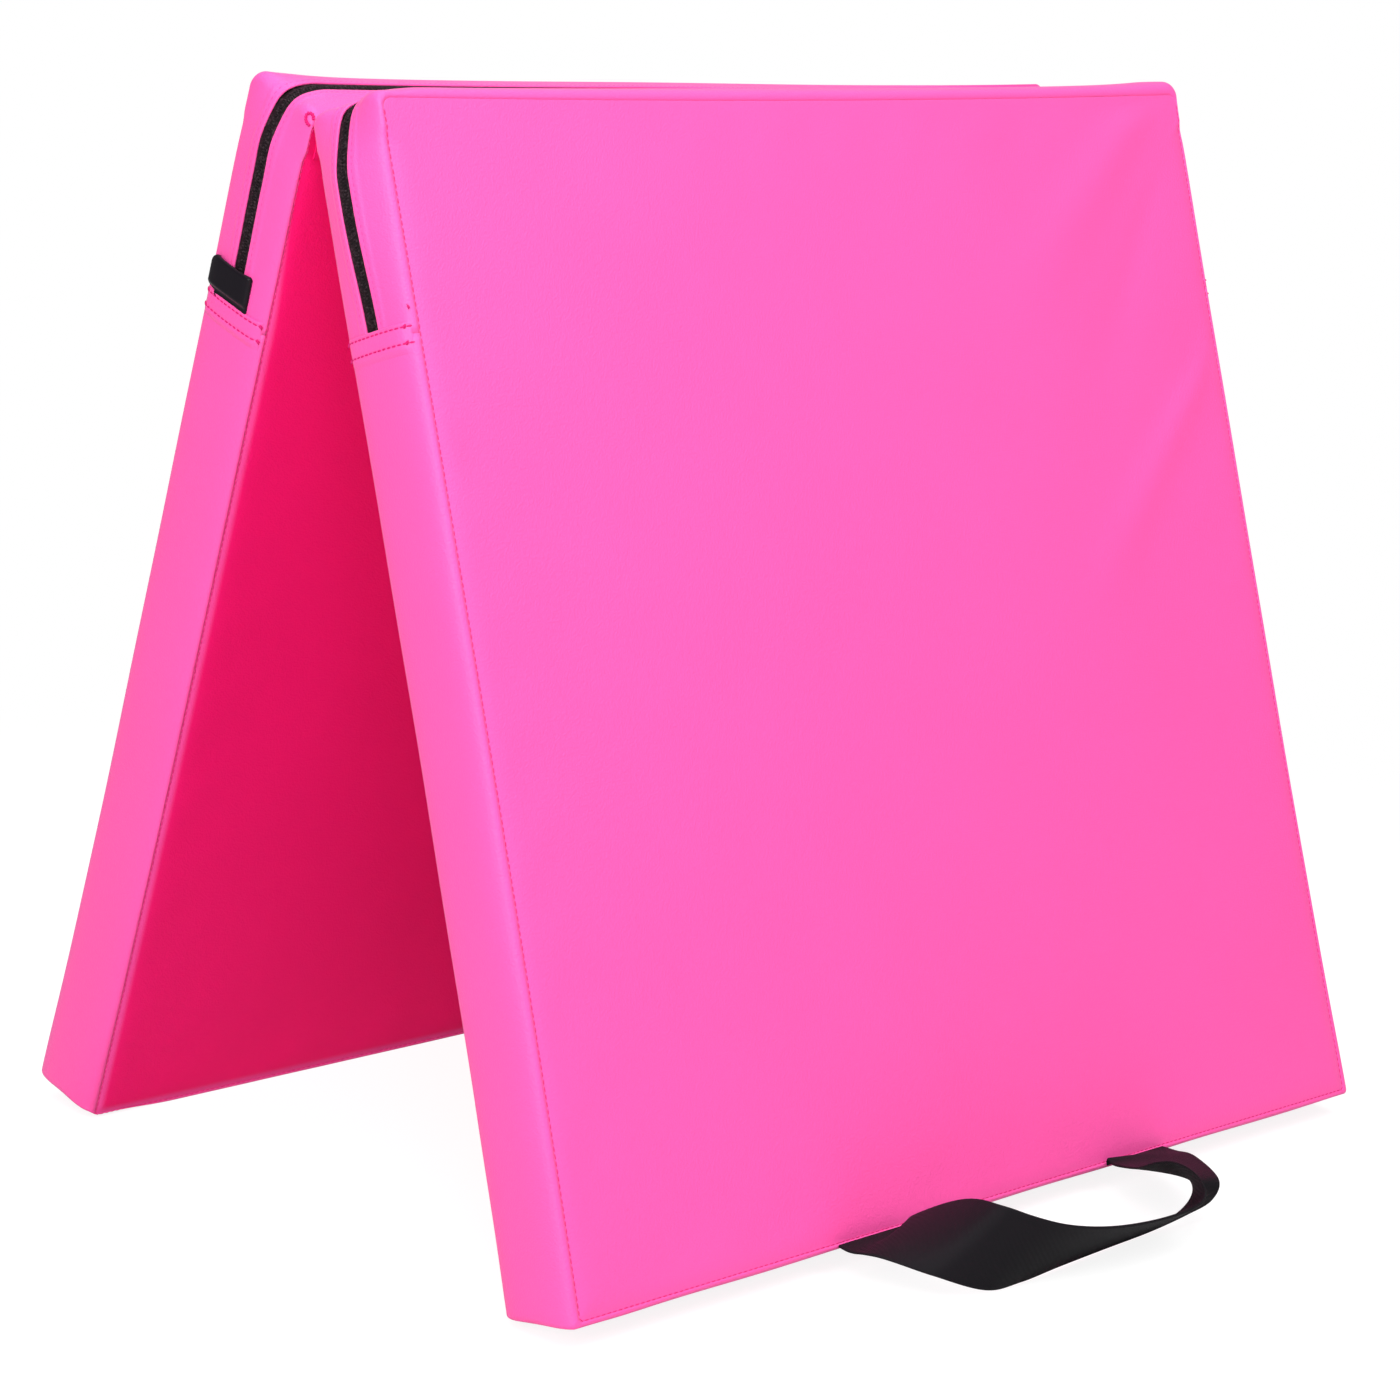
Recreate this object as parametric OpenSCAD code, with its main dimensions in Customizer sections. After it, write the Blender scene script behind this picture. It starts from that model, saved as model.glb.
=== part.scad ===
// Folding gym mat: two square padded panels, joined along one edge by a fabric hinge.
// It stands as an upside-down V. Both panels are the same sewn pad, half a turn apart.
// A pad is drawn lying flat: X along the fold, Y up towards the fold, Z from the inner
// face (0) to the outer face. The pad is then leaned and set on the floor.

/* [Panel] */
// Width of a panel between its side seams, measured at the corners
panel_w = 592; // [440:1:800]
// Length of a panel from the fold to its bottom seam
panel_l = 598; // [440:1:1000]
// Thickness of a panel over both faces
panel_t = 54; // [44:1:80]
// Thickness of the coated cover fabric
cover_t = 1; // [0.6:0.1:1.4]
// Radius of the face seams at the four corners
corner_r = 8; // [4:1:16]
// Lean of each panel from upright while the mat stands, in degrees
lean = 17.8; // [10:0.1:28]

/* [Soft form] */
// Swell of the side walls past the seams
side_crown = 5.5; // [2:0.1:9]
// Swell of the end wall at the fold
fold_crown = 3; // [1:0.1:3]
// Swell of the end wall at the floor
floor_crown = 5; // [2:0.1:9]
// How far the side seams are drawn in between the corners
side_draw = 3; // [0:0.1:6]
// How far the seams at the fold are drawn in between the corners
fold_draw = 2.5; // [0:0.1:6]
// Share of the swell that is lost at a corner
corner_hold = 0.85; // [0:0.05:1]
// Length over which the swell comes back beside a corner
corner_soft = 22; // [10:1:40]
// Squareness of the wall's section: 2 is an ellipse, more is fuller
wall_power = 2.6; // [2:0.1:4]
// Depth of the flat that the floor presses into the bottom edge
floor_flat = 0.5; // [0.2:0.1:1]

/* [Fold] */
// Distance of the fold axis from each inner face
fold_gap = 0.75; // [0.6:0.05:2]
// Distance of the end wall's seams from the fold axis
fold_seam = 3.5; // [3:0.1:8]
// Width of the hinge strip on each inner face
leaf_w = 22; // [12:1:40]
// Thickness of the hinge strip
leaf_t = 0.5; // [0.3:0.05:0.5]
// How far the hinge strip stops short of the side seams
leaf_inset = 10; // [4:1:30]
// Half of the slit between the two leaves at the fold axis
leaf_slit = 0.3; // [0.2:0.05:0.6]

/* [Zip] */
// Length of the zip down each side wall
zip_drop = 118; // [90:1:180]
// Width of the open slot between the zip strips
zip_slot = 7.6; // [7:0.1:12]
// Width of one zip tape, from the middle of the zip
tape_w = 8; // [6:0.1:12]
// Thickness of a zip tape
tape_t = 0.6; // [0.4:0.1:1]
// Width of one row of coil
coil_w = 2.2; // [1.5:0.1:2.4]
// Height of the coil above its tape
coil_h = 0.9; // [0.5:0.1:1]
// Slope at the foot of the coil
coil_foot = 0.4; // [0.2:0.1:0.6]
// Gap between the two rows of coil, for the slider's neck
coil_gap = 1.2; // [1:0.1:1.6]

/* [Slider] */
// Length of the slider along the zip
slider_l = 12; // [8:0.5:14]
// Width of the slider's outer plate
slider_w = 6.6; // [5:0.1:6.6]
// Width of the slider's inner plate
slider_in_w = 9; // [7:0.1:10]
// Thickness of each plate
slider_plate = 1.2; // [0.8:0.1:1.4]
// Thickness of the neck between the plates
slider_neck = 0.6; // [0.4:0.1:0.6]
// Length of the neck
slider_neck_l = 4; // [2:0.5:6]
// Running clearance between the slider and the zip
slider_clear = 0.4; // [0.3:0.05:0.4]
// Travel of the slider along the straight part of the zip
slider_travel = 48; // [20:1:48]

/* [Tab] */
// Width of the tab across the side wall
tab_w = 35; // [24:1:40]
// Length of the tab, up from the hem band
tab_l = 16.7; // [15:0.1:24]
// Thickness of the tab
tab_t = 1.6; // [1:0.1:2]
// Height of the tab's arch over the slider
tab_rise = 1.8; // [1.6:0.1:3]
// Shift of the tab from the zip's middle towards the outer face
tab_shift = 3; // [0:0.5:4]
// Gap between the tab's side edges and the wall
tab_gap = 0.3; // [0.2:0.05:0.5]
// Length of the tab's sewn edge, over which its arch comes down
tab_hem = 2.8; // [2:0.1:4]
// Share of the arch that is left at the sewn edge
tab_low = 0.4; // [0.2:0.05:0.8]
// How far the slider is parked below the tab's free edge
slider_park = 1; // [0.5:0.1:2]

/* [Hem band] */
// Length of the hem band over the end of the zip
band_l = 13; // [10:0.5:20]
// How much of the band lies above the end of the zip strips
band_up = 6; // [4:0.5:10]
// Gap between the layers of the cover
layer_gap = 0.15; // [0.1:0.05:0.25]
// Step of the wall strips' edges below the faces
seam_step = 0.05; // [0.02:0.01:0.2]

/* [Handle] */
// Width of the webbing
webbing_w = 48; // [30:1:60]
// Thickness of the webbing
webbing_t = 1.6; // [1:0.1:2.4]
// Distance of the webbing's end from the seam that holds it
webbing_gap = 0.75; // [0.7:0.05:0.9]
// Height of the webbing's end below that seam
webbing_drop = 1; // [0.8:0.1:1.6]

/* [Foam] */
// Gap between the foam block and the face sheets
foam_gap = 0.1; // [0.1:0.05:0.3]
// How far the foam block stops short of the seams
foam_inset = 2; // [1.5:0.1:6]

/* [Hidden] */
$fn = 48;

pink = "#fe6bc1";
black = "#26222a";
tape_black = "#38202c";
foam_white = "#f2efe6";

half_w = panel_w / 2;
// Where the straight stretches of the outline start and end
side_top = fold_seam + corner_r;
side_end = panel_l - corner_r;
side_mid = (side_top + side_end) / 2;
side_half = (side_end - side_top) / 2;
end_half = half_w - corner_r;
// Distance between the middle of a corner and the end of its arc
corner_arc = corner_r * PI / 4;
corner_steps = 4;
// Stations beside a corner, where the swell changes fast
near = [0, 8, 18, 34];
far = near[3];

// Levels across a wall, as shares of the thickness
zip_lo = 0.5 - zip_slot / 2 / panel_t;
zip_hi = 0.5 + zip_slot / 2 / panel_t;
wall_levels = [0, 0.03, 0.1, 0.28, 0.5, 0.72, 0.9, 0.97, 1];
inner_levels = [0, 0.03, 0.1, 0.28, zip_lo];
outer_levels = [zip_hi, 0.72, 0.9, 0.97, 1];
band_levels = [0.05, 0.1, 0.28, 0.5, 0.72, 0.9, 0.95];

// Swell of the wall at a level, as a share of its crown: a superellipse
function swell(w) = pow(max(0, 1 - pow(abs(2 * w - 1), wall_power)), 1 / wall_power);
// Share of the crown that is there at a distance from a corner's middle
function fade(d) = 1 - corner_hold * exp(-pow(d / corner_soft, 2));
function mix(a, b, s) = a + (b - a) * s;
function unit(p) = p / norm(p);

// A station of the outline: [x, y, outward x, outward y, crown]
function side_at(side, v) =
    let (pull = side_draw * (1 - pow((v - side_mid) / side_half, 2)))
    let (d = min(v - side_top, side_end - v) + corner_arc)
    [side * (half_w - pull), -v, side, 0, side_crown * fade(d)];
function fold_at(x) =
    let (pull = fold_draw * (1 - pow(x / end_half, 2)))
    [x, -fold_seam - pull, 0, 1, fold_crown * fade(end_half - abs(x) + corner_arc)];
function floor_at(x) =
    [x, -panel_l, 0, -1, floor_crown * fade(end_half - abs(x) + corner_arc)];
// Stations round one corner, its two ends left out, turning clockwise from angle a
function corner_at(side, y, a, crown_a, crown_b) = [
    for (k = [1 : corner_steps - 1])
    let (s = k / corner_steps)
    let (n = [cos(a - 90 * s), sin(a - 90 * s)])
    let (crown = mix(crown_a, crown_b, s) * fade(corner_arc * abs(2 * s - 1)))
    [side * end_half + corner_r * n[0], y + corner_r * n[1], n[0], n[1], crown]
];

// Stations down a side wall, from the fold and to the floor
zip_side = concat([for (d = near) side_top + d], [(side_top + far + zip_drop) / 2, zip_drop]);
long_steps = 4;
long_end = side_end - far;
box_side = concat(
    [for (k = [0 : long_steps - 1]) mix(zip_drop, long_end, k / long_steps)],
    [for (k = [0 : 3]) side_end - near[3 - k]]
);
// Stations along an end wall
end_steps = 4;
end_xs = concat(
    [for (k = [0 : 2]) near[k] - end_half],
    [for (k = [0 : end_steps]) mix(far - end_half, end_half - far, k / end_steps)],
    [for (k = [0 : 2]) end_half - near[2 - k]]
);
last_zip = len(zip_side) - 1;
last_box = len(box_side) - 1;
last_end = len(end_xs) - 1;

// The zip's route: up the -X side, along the fold and down the +X side
zip_path = concat(
    [for (k = [0 : last_zip]) side_at(-1, zip_side[last_zip - k])],
    corner_at(-1, -side_top, 180, side_crown, fold_crown),
    [for (x = end_xs) fold_at(x)],
    corner_at(1, -side_top, 90, fold_crown, side_crown),
    [for (v = zip_side) side_at(1, v)]
);
// The plain strip's route: down the +X side, along the floor and up the -X side
box_path = concat(
    [for (v = box_side) side_at(1, v)],
    corner_at(1, -side_end, 0, side_crown, floor_crown),
    [for (k = [0 : last_end]) floor_at(end_xs[last_end - k])],
    corner_at(-1, -side_end, -90, floor_crown, side_crown),
    [for (k = [0 : last_box]) side_at(-1, box_side[last_box - k])]
);
// The face seam is both routes in one loop
seam_loop = concat(
    [for (s = zip_path) [s[0], s[1]]],
    [for (k = [1 : len(box_path) - 2]) [box_path[k][0], box_path[k][1]]]
);

// A point of a section: [share of the crown, plain offset, height, share of the lift]
function cover_out(levels) = [
    for (w = levels)
    [swell(w), 0, mix(seam_step, panel_t - seam_step, w), 0]
];
function cover_in(levels) = [
    for (k = [len(levels) - 1 : -1 : 0])
    let (w = levels[k])
    [swell(w), -cover_t * swell(w), cover_t + w * (panel_t - 2 * cover_t), 0]
];
function cover_section(levels) = concat(cover_out(levels), cover_in(levels));

// Places a section at each station of a route; lifts raises whole stations
function swept(path, section, lifts) = [
    for (i = [0 : len(path) - 1])
    let (s = path[i])
    let (lift = is_undef(lifts) ? 0 : lifts[i])
    for (p = section)
    let (b = s[4] * p[0] + p[1] + p[3] * lift)
    [s[0] + s[2] * b, s[1] + s[3] * b, p[2]]
];

// Skins a list of equal closed sections, whose second half runs back beside the first.
// Both sides of a layer are cut along the same diagonal, so its thickness stays even.
module skin(points, sides) {
    count = len(points) / sides;
    half = sides / 2;
    top = (count - 1) * sides;
    walls = [
        for (i = [0 : count - 2])
        for (j = [0 : sides - 1])
        let (a = i * sides + j)
        let (b = i * sides + (j + 1) % sides)
        let (cut = j < half
            ? [[a, a + sides, b + sides], [a, b + sides, b]]
            : [[a, a + sides, b], [a + sides, b + sides, b]])
        for (f = cut) f
    ];
    start = [
        for (j = [0 : half - 2])
        for (f = [[j, j + 1, sides - 2 - j], [j, sides - 2 - j, sides - 1 - j]]) f
    ];
    finish = [for (f = start) [top + f[0], top + f[2], top + f[1]]];
    polyhedron(points, concat(walls, start, finish));
}

module ribbon(path, section, lifts) {
    skin(swept(path, section, lifts), len(section));
}

// Height of the fold axis: the lowest level of the bottom wall, less the pressed flat
axis_z = max([
    for (w = wall_levels)
    (panel_l + floor_crown * swell(w)) * cos(lean) - (w * panel_t + fold_gap) * sin(lean)
]) - floor_flat;

module at_front() {
    translate([0, 0, axis_z])
        rotate([90 - lean, 0, 0])
            translate([0, 0, fold_gap])
                children();
}

module at_back() {
    rotate([0, 0, 180])
        at_front()
            children();
}

module floor_block() {
    room = panel_w + panel_l;
    translate([-room, -room, -panel_t])
        cube([2 * room, 2 * room, panel_t]);
}

// Pieces of one pad

module foam_block() {
    w = half_w - side_draw - foam_inset - corner_r;
    top = -fold_seam - fold_draw - foam_inset - corner_r;
    bottom = -panel_l + foam_inset + corner_r;
    color(foam_white)
        translate([0, 0, cover_t + foam_gap])
            linear_extrude(panel_t - 2 * (cover_t + foam_gap)) {
                translate([-w - corner_r, bottom])
                    square([2 * (w + corner_r), top - bottom]);
                translate([-w, bottom - corner_r])
                    square([2 * w, top - bottom + 2 * corner_r]);
                for (x = [-w, w], y = [bottom, top])
                    translate([x, y])
                        circle(corner_r);
            }
}

module face_sheet(height) {
    color(pink)
        translate([0, 0, height])
            linear_extrude(cover_t)
                polygon(seam_loop);
}

module outer_sheet() {
    face_sheet(panel_t - cover_t);
}

module inner_sheet() {
    face_sheet(0);
}

module boxing_strip() {
    color(pink)
        ribbon(box_path, cover_section(wall_levels));
}

module zip_strip_outer() {
    color(pink)
        ribbon(zip_path, cover_section(outer_levels));
}

module zip_strip_inner() {
    color(pink)
        ribbon(zip_path, cover_section(inner_levels));
}

// The tape lies under the strips, and its row of coil stands up in the slot
tape_level = 0.5 + tape_w / panel_t;
tape_share = swell(tape_level);
tape_top = -cover_t * tape_share - layer_gap;
coil_in = coil_gap / 2;
coil_out = coil_in + coil_w;

function tape_section(side) =
    let (mid = panel_t / 2)
    let (us = [coil_in, coil_out, coil_out + coil_foot, tape_w])
    let (tops = [coil_h, coil_h, 0, 0])
    let (upper = [for (k = [0 : 3]) [tape_share, tape_top + tops[k], mid + side * us[k], 0]])
    let (under = [for (k = [0 : 3]) [tape_share, tape_top - tape_t, mid + side * us[k], 0]])
    side > 0
        ? concat(upper, [for (k = [3 : -1 : 0]) under[k]])
        : concat([for (k = [3 : -1 : 0]) upper[k]], under);

module zip_tape_outer() {
    color(tape_black)
        ribbon(zip_path, tape_section(1));
}

module zip_tape_inner() {
    color(tape_black)
        ribbon(zip_path, tape_section(-1));
}

// The hem band covers the joint between the zip strips and the plain strip
band_top = zip_drop - band_up;
band_out = [for (w = band_levels) [swell(w), layer_gap + cover_t, w * panel_t, 0]];
band_in = [
    for (k = [len(band_levels) - 1 : -1 : 0])
    let (w = band_levels[k])
    [swell(w), layer_gap, w * panel_t, 0]
];
band_vs = [band_top, band_top + band_l];

module hem_bands() {
    color(pink) {
        ribbon([for (v = band_vs) side_at(1, v)], concat(band_out, band_in));
        ribbon([for (k = [1, 0]) side_at(-1, band_vs[k])], concat(band_out, band_in));
    }
}

// The tab arches over the slider and is sewn in at its lower edge, above the hem band
tab_bottom = band_top - tab_gap;
tab_top = tab_bottom - tab_l;
tab_mid = panel_t / 2 + tab_shift;
tab_steps = 10;
tab_vs = [tab_top, tab_bottom - tab_hem, tab_bottom - tab_hem / 2, tab_bottom];
tab_lifts = [for (s = [1, 1, (1 + tab_low) / 2, tab_low]) tab_rise * s];
function arch(s) = 1 - pow(abs(2 * s - 1), 4);
function tab_line(offset, order) = [
    for (k = order)
    let (s = k / tab_steps)
    let (u = tab_mid + (s - 0.5) * tab_w)
    [swell(u / panel_t), tab_gap + offset, u, arch(s)]
];

module zip_tab() {
    color(black)
        ribbon(
            [for (v = tab_vs) side_at(1, v)],
            concat(tab_line(tab_t, [0 : tab_steps]), tab_line(0, [tab_steps : -1 : 0])),
            tab_lifts
        );
}

// The slider's two plates hold the coil between them, joined by a neck
slider_v = tab_top + slider_park + slider_l / 2;
function tape_x(v) = let (s = side_at(1, v)) s[0] + s[4] * tape_share + tape_top;
slider_turn = atan2(tape_x(slider_v - slider_travel) - tape_x(slider_v), slider_travel);
plate_low = coil_h + slider_clear;
plate_under = -tape_t - slider_clear - slider_plate;

// A plate with round ends, lying along the zip with its underside at a height
module slider_plate_at(height, width) {
    r = width / 2;
    translate([height, 0, 0])
        rotate([0, 90, 0])
            linear_extrude(slider_plate) {
                for (y = [-1, 1])
                    translate([0, y * (slider_l / 2 - r)])
                        circle(r);
                square([width, slider_l - width], center = true);
            }
}

module zip_slider() {
    neck_h = plate_low - plate_under;
    color(black)
        translate([tape_x(slider_v), -slider_v, panel_t / 2])
            rotate([0, 0, -slider_turn]) {
                slider_plate_at(plate_low, slider_w);
                slider_plate_at(plate_under, slider_in_w);
                translate([plate_under + slider_plate / 2, -slider_neck_l / 2, -slider_neck / 2])
                    cube([neck_h, slider_neck_l, slider_neck]);
            }
}

module hinge_leaf() {
    color(pink)
        translate([leaf_inset - half_w, -leaf_w, -leaf_t - layer_gap / 2])
            cube([panel_w - 2 * leaf_inset, leaf_w - leaf_slit, leaf_t]);
}

// The handle hangs from the outer bottom seam and its middle lies on the floor.
// Seam of the front panel, in the standing mat
seam_y = -panel_l * sin(lean) - (panel_t + fold_gap) * cos(lean);
seam_z = axis_z - panel_l * cos(lean) + (panel_t + fold_gap) * sin(lean);
end_z = seam_z - webbing_drop;
// Route of the webbing's outer edge, and the way to its other edge:
// [along the seam, out from the seam, height above the floor, way x, way y, way z]
handle_route = [
    [-124, webbing_gap, end_z, 1, 0, 0],
    [-124, 10, 16.6, 1, 0.02, 0.03],
    [-120, 31, 18, 0.92, 0.15, 0.35],
    [-112, 54, 15.7, 0.74, 0, 0.67],
    [-85, 61.3, 4.7, 0.23, -0.34, 0.91],
    [-59, 63.4, 1.4, 0.06, -0.54, 0.84],
    [-20, 60.8, 1.7, 0.04, -0.75, 0.66],
    [19, 58.1, 1.6, 0.06, -0.81, 0.59],
    [45, 56.3, 1.4, 0.05, -0.8, 0.6],
    [71, 56, 2.6, -0.26, -0.54, 0.8],
    [90, 65.3, 12.6, -0.75, 0.1, 0.66],
    [100, 64.6, 27, -0.83, 0.54, 0.14],
    [115, 44.4, 24.7, -0.86, 0.51, 0.01],
    [130, 17, 19.2, -0.97, 0.22, 0],
    [131, webbing_gap, end_z, -1, 0, 0]
];
handle_steps = 6;

// Catmull-Rom curve through a list of rows, its ends run on in a straight line
function row(list, i) =
    i < 0 ? 2 * list[0] - list[1]
    : i >= len(list) ? 2 * list[len(list) - 1] - list[len(list) - 2]
    : list[i];
function curve(list, i, s) =
    let (p0 = row(list, i - 1), p1 = row(list, i), p2 = row(list, i + 1), p3 = row(list, i + 2))
    0.5 * (2 * p1 + (p2 - p0) * s + (2 * p0 - 5 * p1 + 4 * p2 - p3) * s * s
        + (3 * p1 - p0 - 3 * p2 + p3) * s * s * s);
handle_rows = [
    for (i = [0 : len(handle_route) - 2])
    for (k = [0 : handle_steps - 1])
    curve(handle_route, i, k / handle_steps),
    handle_route[len(handle_route) - 1]
];
handle_edge = [for (r = handle_rows) [r[0], seam_y - r[1], r[2]]];
handle_way = [for (r = handle_rows) unit([r[3], r[4], r[5]])];
handle_mid = [for (i = [0 : len(handle_rows) - 1]) handle_edge[i] + handle_way[i] * webbing_w / 2];

module handle() {
    last = len(handle_rows) - 1;
    points = [
        for (i = [0 : last])
        let (run = handle_mid[min(i + 1, last)] - handle_mid[max(i - 1, 0)])
        let (face = unit(cross(run, handle_way[i])) * webbing_t / 2)
        let (a = handle_edge[i], b = a + handle_way[i] * webbing_w)
        for (p = [a - face, b - face, b + face, a + face]) p
    ];
    color(black)
        skin(points, 4);
}

// The front panel

module front_foam_block() { at_front() foam_block(); }
module front_outer_sheet() { at_front() outer_sheet(); }
module front_inner_sheet() { at_front() inner_sheet(); }
module front_boxing_strip() {
    color(pink)
        difference() {
            at_front() boxing_strip();
            floor_block();
        }
}
module front_zip_strip_outer() { at_front() zip_strip_outer(); }
module front_zip_strip_inner() { at_front() zip_strip_inner(); }
module front_zip_tape_outer() { at_front() zip_tape_outer(); }
module front_zip_tape_inner() { at_front() zip_tape_inner(); }
module front_zip_slider() { at_front() zip_slider(); }
module front_zip_tab() { at_front() zip_tab(); }
module front_hem_bands() { at_front() hem_bands(); }
module front_handle() { handle(); }
module front_hinge_leaf() { at_front() hinge_leaf(); }

// The back panel

module back_foam_block() { at_back() foam_block(); }
module back_outer_sheet() { at_back() outer_sheet(); }
module back_inner_sheet() { at_back() inner_sheet(); }
module back_boxing_strip() { rotate([0, 0, 180]) front_boxing_strip(); }
module back_zip_strip_outer() { at_back() zip_strip_outer(); }
module back_zip_strip_inner() { at_back() zip_strip_inner(); }
module back_zip_tape_outer() { at_back() zip_tape_outer(); }
module back_zip_tape_inner() { at_back() zip_tape_inner(); }
module back_zip_slider() { at_back() zip_slider(); }
module back_zip_tab() { at_back() zip_tab(); }
module back_hem_bands() { at_back() hem_bands(); }
module back_handle() { rotate([0, 0, 180]) handle(); }
module back_hinge_leaf() { at_back() hinge_leaf(); }

front_foam_block();
front_outer_sheet();
front_inner_sheet();
front_boxing_strip();
front_zip_strip_outer();
front_zip_strip_inner();
front_zip_tape_outer();
front_zip_tape_inner();
front_zip_slider();
front_zip_tab();
front_hem_bands();
front_handle();
front_hinge_leaf();
back_foam_block();
back_outer_sheet();
back_inner_sheet();
back_boxing_strip();
back_zip_strip_outer();
back_zip_strip_inner();
back_zip_tape_outer();
back_zip_tape_inner();
back_zip_slider();
back_zip_tab();
back_hem_bands();
back_handle();
back_hinge_leaf();
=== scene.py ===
"""Looks of a folding gym mat: two padded panels in a coated pink cover, standing as an upside-down V.

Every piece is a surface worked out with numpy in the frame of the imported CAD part, in metres.
A pad is drawn lying flat (X along the fold, Y up towards the fold, Z from the inner face to the
outer face) and then leaned and set on the floor. The back pad is the front pad after half a turn.
"""
import math

import bpy
import numpy as np
from mathutils import Matrix, Vector


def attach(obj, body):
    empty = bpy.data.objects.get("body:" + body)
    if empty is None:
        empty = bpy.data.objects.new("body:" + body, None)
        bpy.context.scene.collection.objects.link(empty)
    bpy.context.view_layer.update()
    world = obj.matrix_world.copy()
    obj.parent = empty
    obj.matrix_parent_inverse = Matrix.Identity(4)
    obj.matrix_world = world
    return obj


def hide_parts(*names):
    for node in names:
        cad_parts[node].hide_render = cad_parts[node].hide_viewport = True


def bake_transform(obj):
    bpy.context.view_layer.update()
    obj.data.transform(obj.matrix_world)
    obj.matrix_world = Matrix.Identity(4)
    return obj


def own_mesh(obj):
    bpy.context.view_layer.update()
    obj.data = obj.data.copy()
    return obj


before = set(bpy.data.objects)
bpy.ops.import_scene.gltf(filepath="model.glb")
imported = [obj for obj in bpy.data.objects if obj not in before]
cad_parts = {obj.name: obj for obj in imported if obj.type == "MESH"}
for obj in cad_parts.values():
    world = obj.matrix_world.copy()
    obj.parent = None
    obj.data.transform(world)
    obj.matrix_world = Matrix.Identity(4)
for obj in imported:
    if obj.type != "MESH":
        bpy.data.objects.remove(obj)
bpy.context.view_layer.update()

bl_info = {
    "name": "Folding gym mat",
    "version": (1, 0, 0),
    "blender": (4, 5, 0),
    "location": "View3D > Sidebar > Mat",
    "description": "Builds the looks of a two-panel folding gym mat",
    "category": "Add Mesh",
}

PANELS = ("front", "back")

# Loss of a side wall's swell beside the fold, by panel and side: share, distance below the corner, reach
DIPS = {("front", 1): (0.55, 0.011, 0.010), ("front", -1): (0.12, 0.0, 0.014)}
PLAIN_DIP = (0.45, 0.0, 0.018)
# Share of the side swell that is left at a corner of the fold, and at the floor
CORNER_SWELL = {"front": 0.95, "back": 0.55}
FLOOR_CORNER_SWELL = 1.5
# Where the close stations of the fold's and the floor's corners begin, and their steps
ZIP_TURN, FOLD_STEP = 0.05, 0.0015
FLOOR_TURN, FLOOR_STEP = 0.02, 0.001
# How far from a seam its sunk edge reaches into the face
SEAM_REACH = 0.0042
# Radius of the zip strips' folded edge, distance of its stitches from the fold
LIP_ROUND, LIP_STITCH = 0.0008, 0.0031
# Level of the zip tapes against the swollen wall, their thickness, pitch of the coil's teeth
TAPE_LEVEL, TAPE_T, TOOTH_PITCH = -0.0004, 0.0006, 0.0016
# Hem: thickness, length, radius of its upper fold, and the two sewn rows below that fold
HEM_T, HEM_L, HEM_ROUND, HEM_ROWS = 0.0013, 0.017, 0.0009, (0.0021, 0.0101)
# Pitch, length and width of the stitches across the hems, along the zip and in the tack at the fold
HEM_STITCH, ZIP_STITCH = (0.0036, 0.0028, 0.0010), (0.0034, 0.0025, 0.0005)
FOLD_STITCH = (0.0012, 0.0014, 0.0018)
# Stitch and run of the bar tacks at the ends of the hem's rows and above the hem, width of their thread
END_TACK = ((0, 0.0022, 0.0008), (0, 0.0003, 0.0018))
SIDE_TACK = ((0, 0.0012, 0.0012), (0, -0.002, 0.002))
TACK_W = 0.0007
# Tab: distance of its full width from the hem, length past that, radii of its outer and inner free corners
TAB_GAP, TAB_TUCK, TAB_ROUND_OUT, TAB_ROUND_IN = 0.0027, 0.0042, 0.005, 0.0018
# Height of the tab's arch, its thickness at the edge and what the middle adds
TAB_ARCH, TAB_EDGE, TAB_FULL = 0.0018, 0.0003, 0.0013
# Hinge strip: depth on each face, distance from the fold axis and from the side seams, half its thickness
HINGE_DROP, HINGE_GAP, HINGE_END = 0.022, 0.0004, 0.007
HINGE_HALF = 0.0002
# Half the floor's side, and the distances between which the shadow on it fades out
FLOOR_REACH, SHADOW_NEAR, SHADOW_FAR = 40.0, 0.45, 1.1
# Name, place, aim, size and power of each light
LIGHTS = (
    ("key", (0.2, -1.5, 1.9), (0.0, -0.15, 0.35), 1.2, 23),
    ("left", (-1.3, -1.0, 1.8), (0.0, -0.1, 0.35), 1.0, 25),
    ("side", (-2.5, -1.0, 1.2), (0.0, 0.0, 0.3), 1.3, 43),
    ("top", (0.2, 0.3, 3.0), (0.0, 0.0, 0.0), 2.0, 34),
)
# Place of the camera, its lens in millimetres, its angles in degrees
CAMERA_AT, CAMERA_LENS = (-1.3527, -1.4287, 0.6791), 91.47
CAMERA_YAW, CAMERA_PITCH, CAMERA_ROLL = 43.066, 12.536, -2.581


def size_prop(name, description, default):
    """A length in metres."""
    return bpy.props.FloatProperty(name=name, description=description, default=default, unit="LENGTH")


def colour_prop(name, description, default):
    """A linear colour."""
    return bpy.props.FloatVectorProperty(name=name, description=description, default=default, subtype="COLOR")


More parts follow.
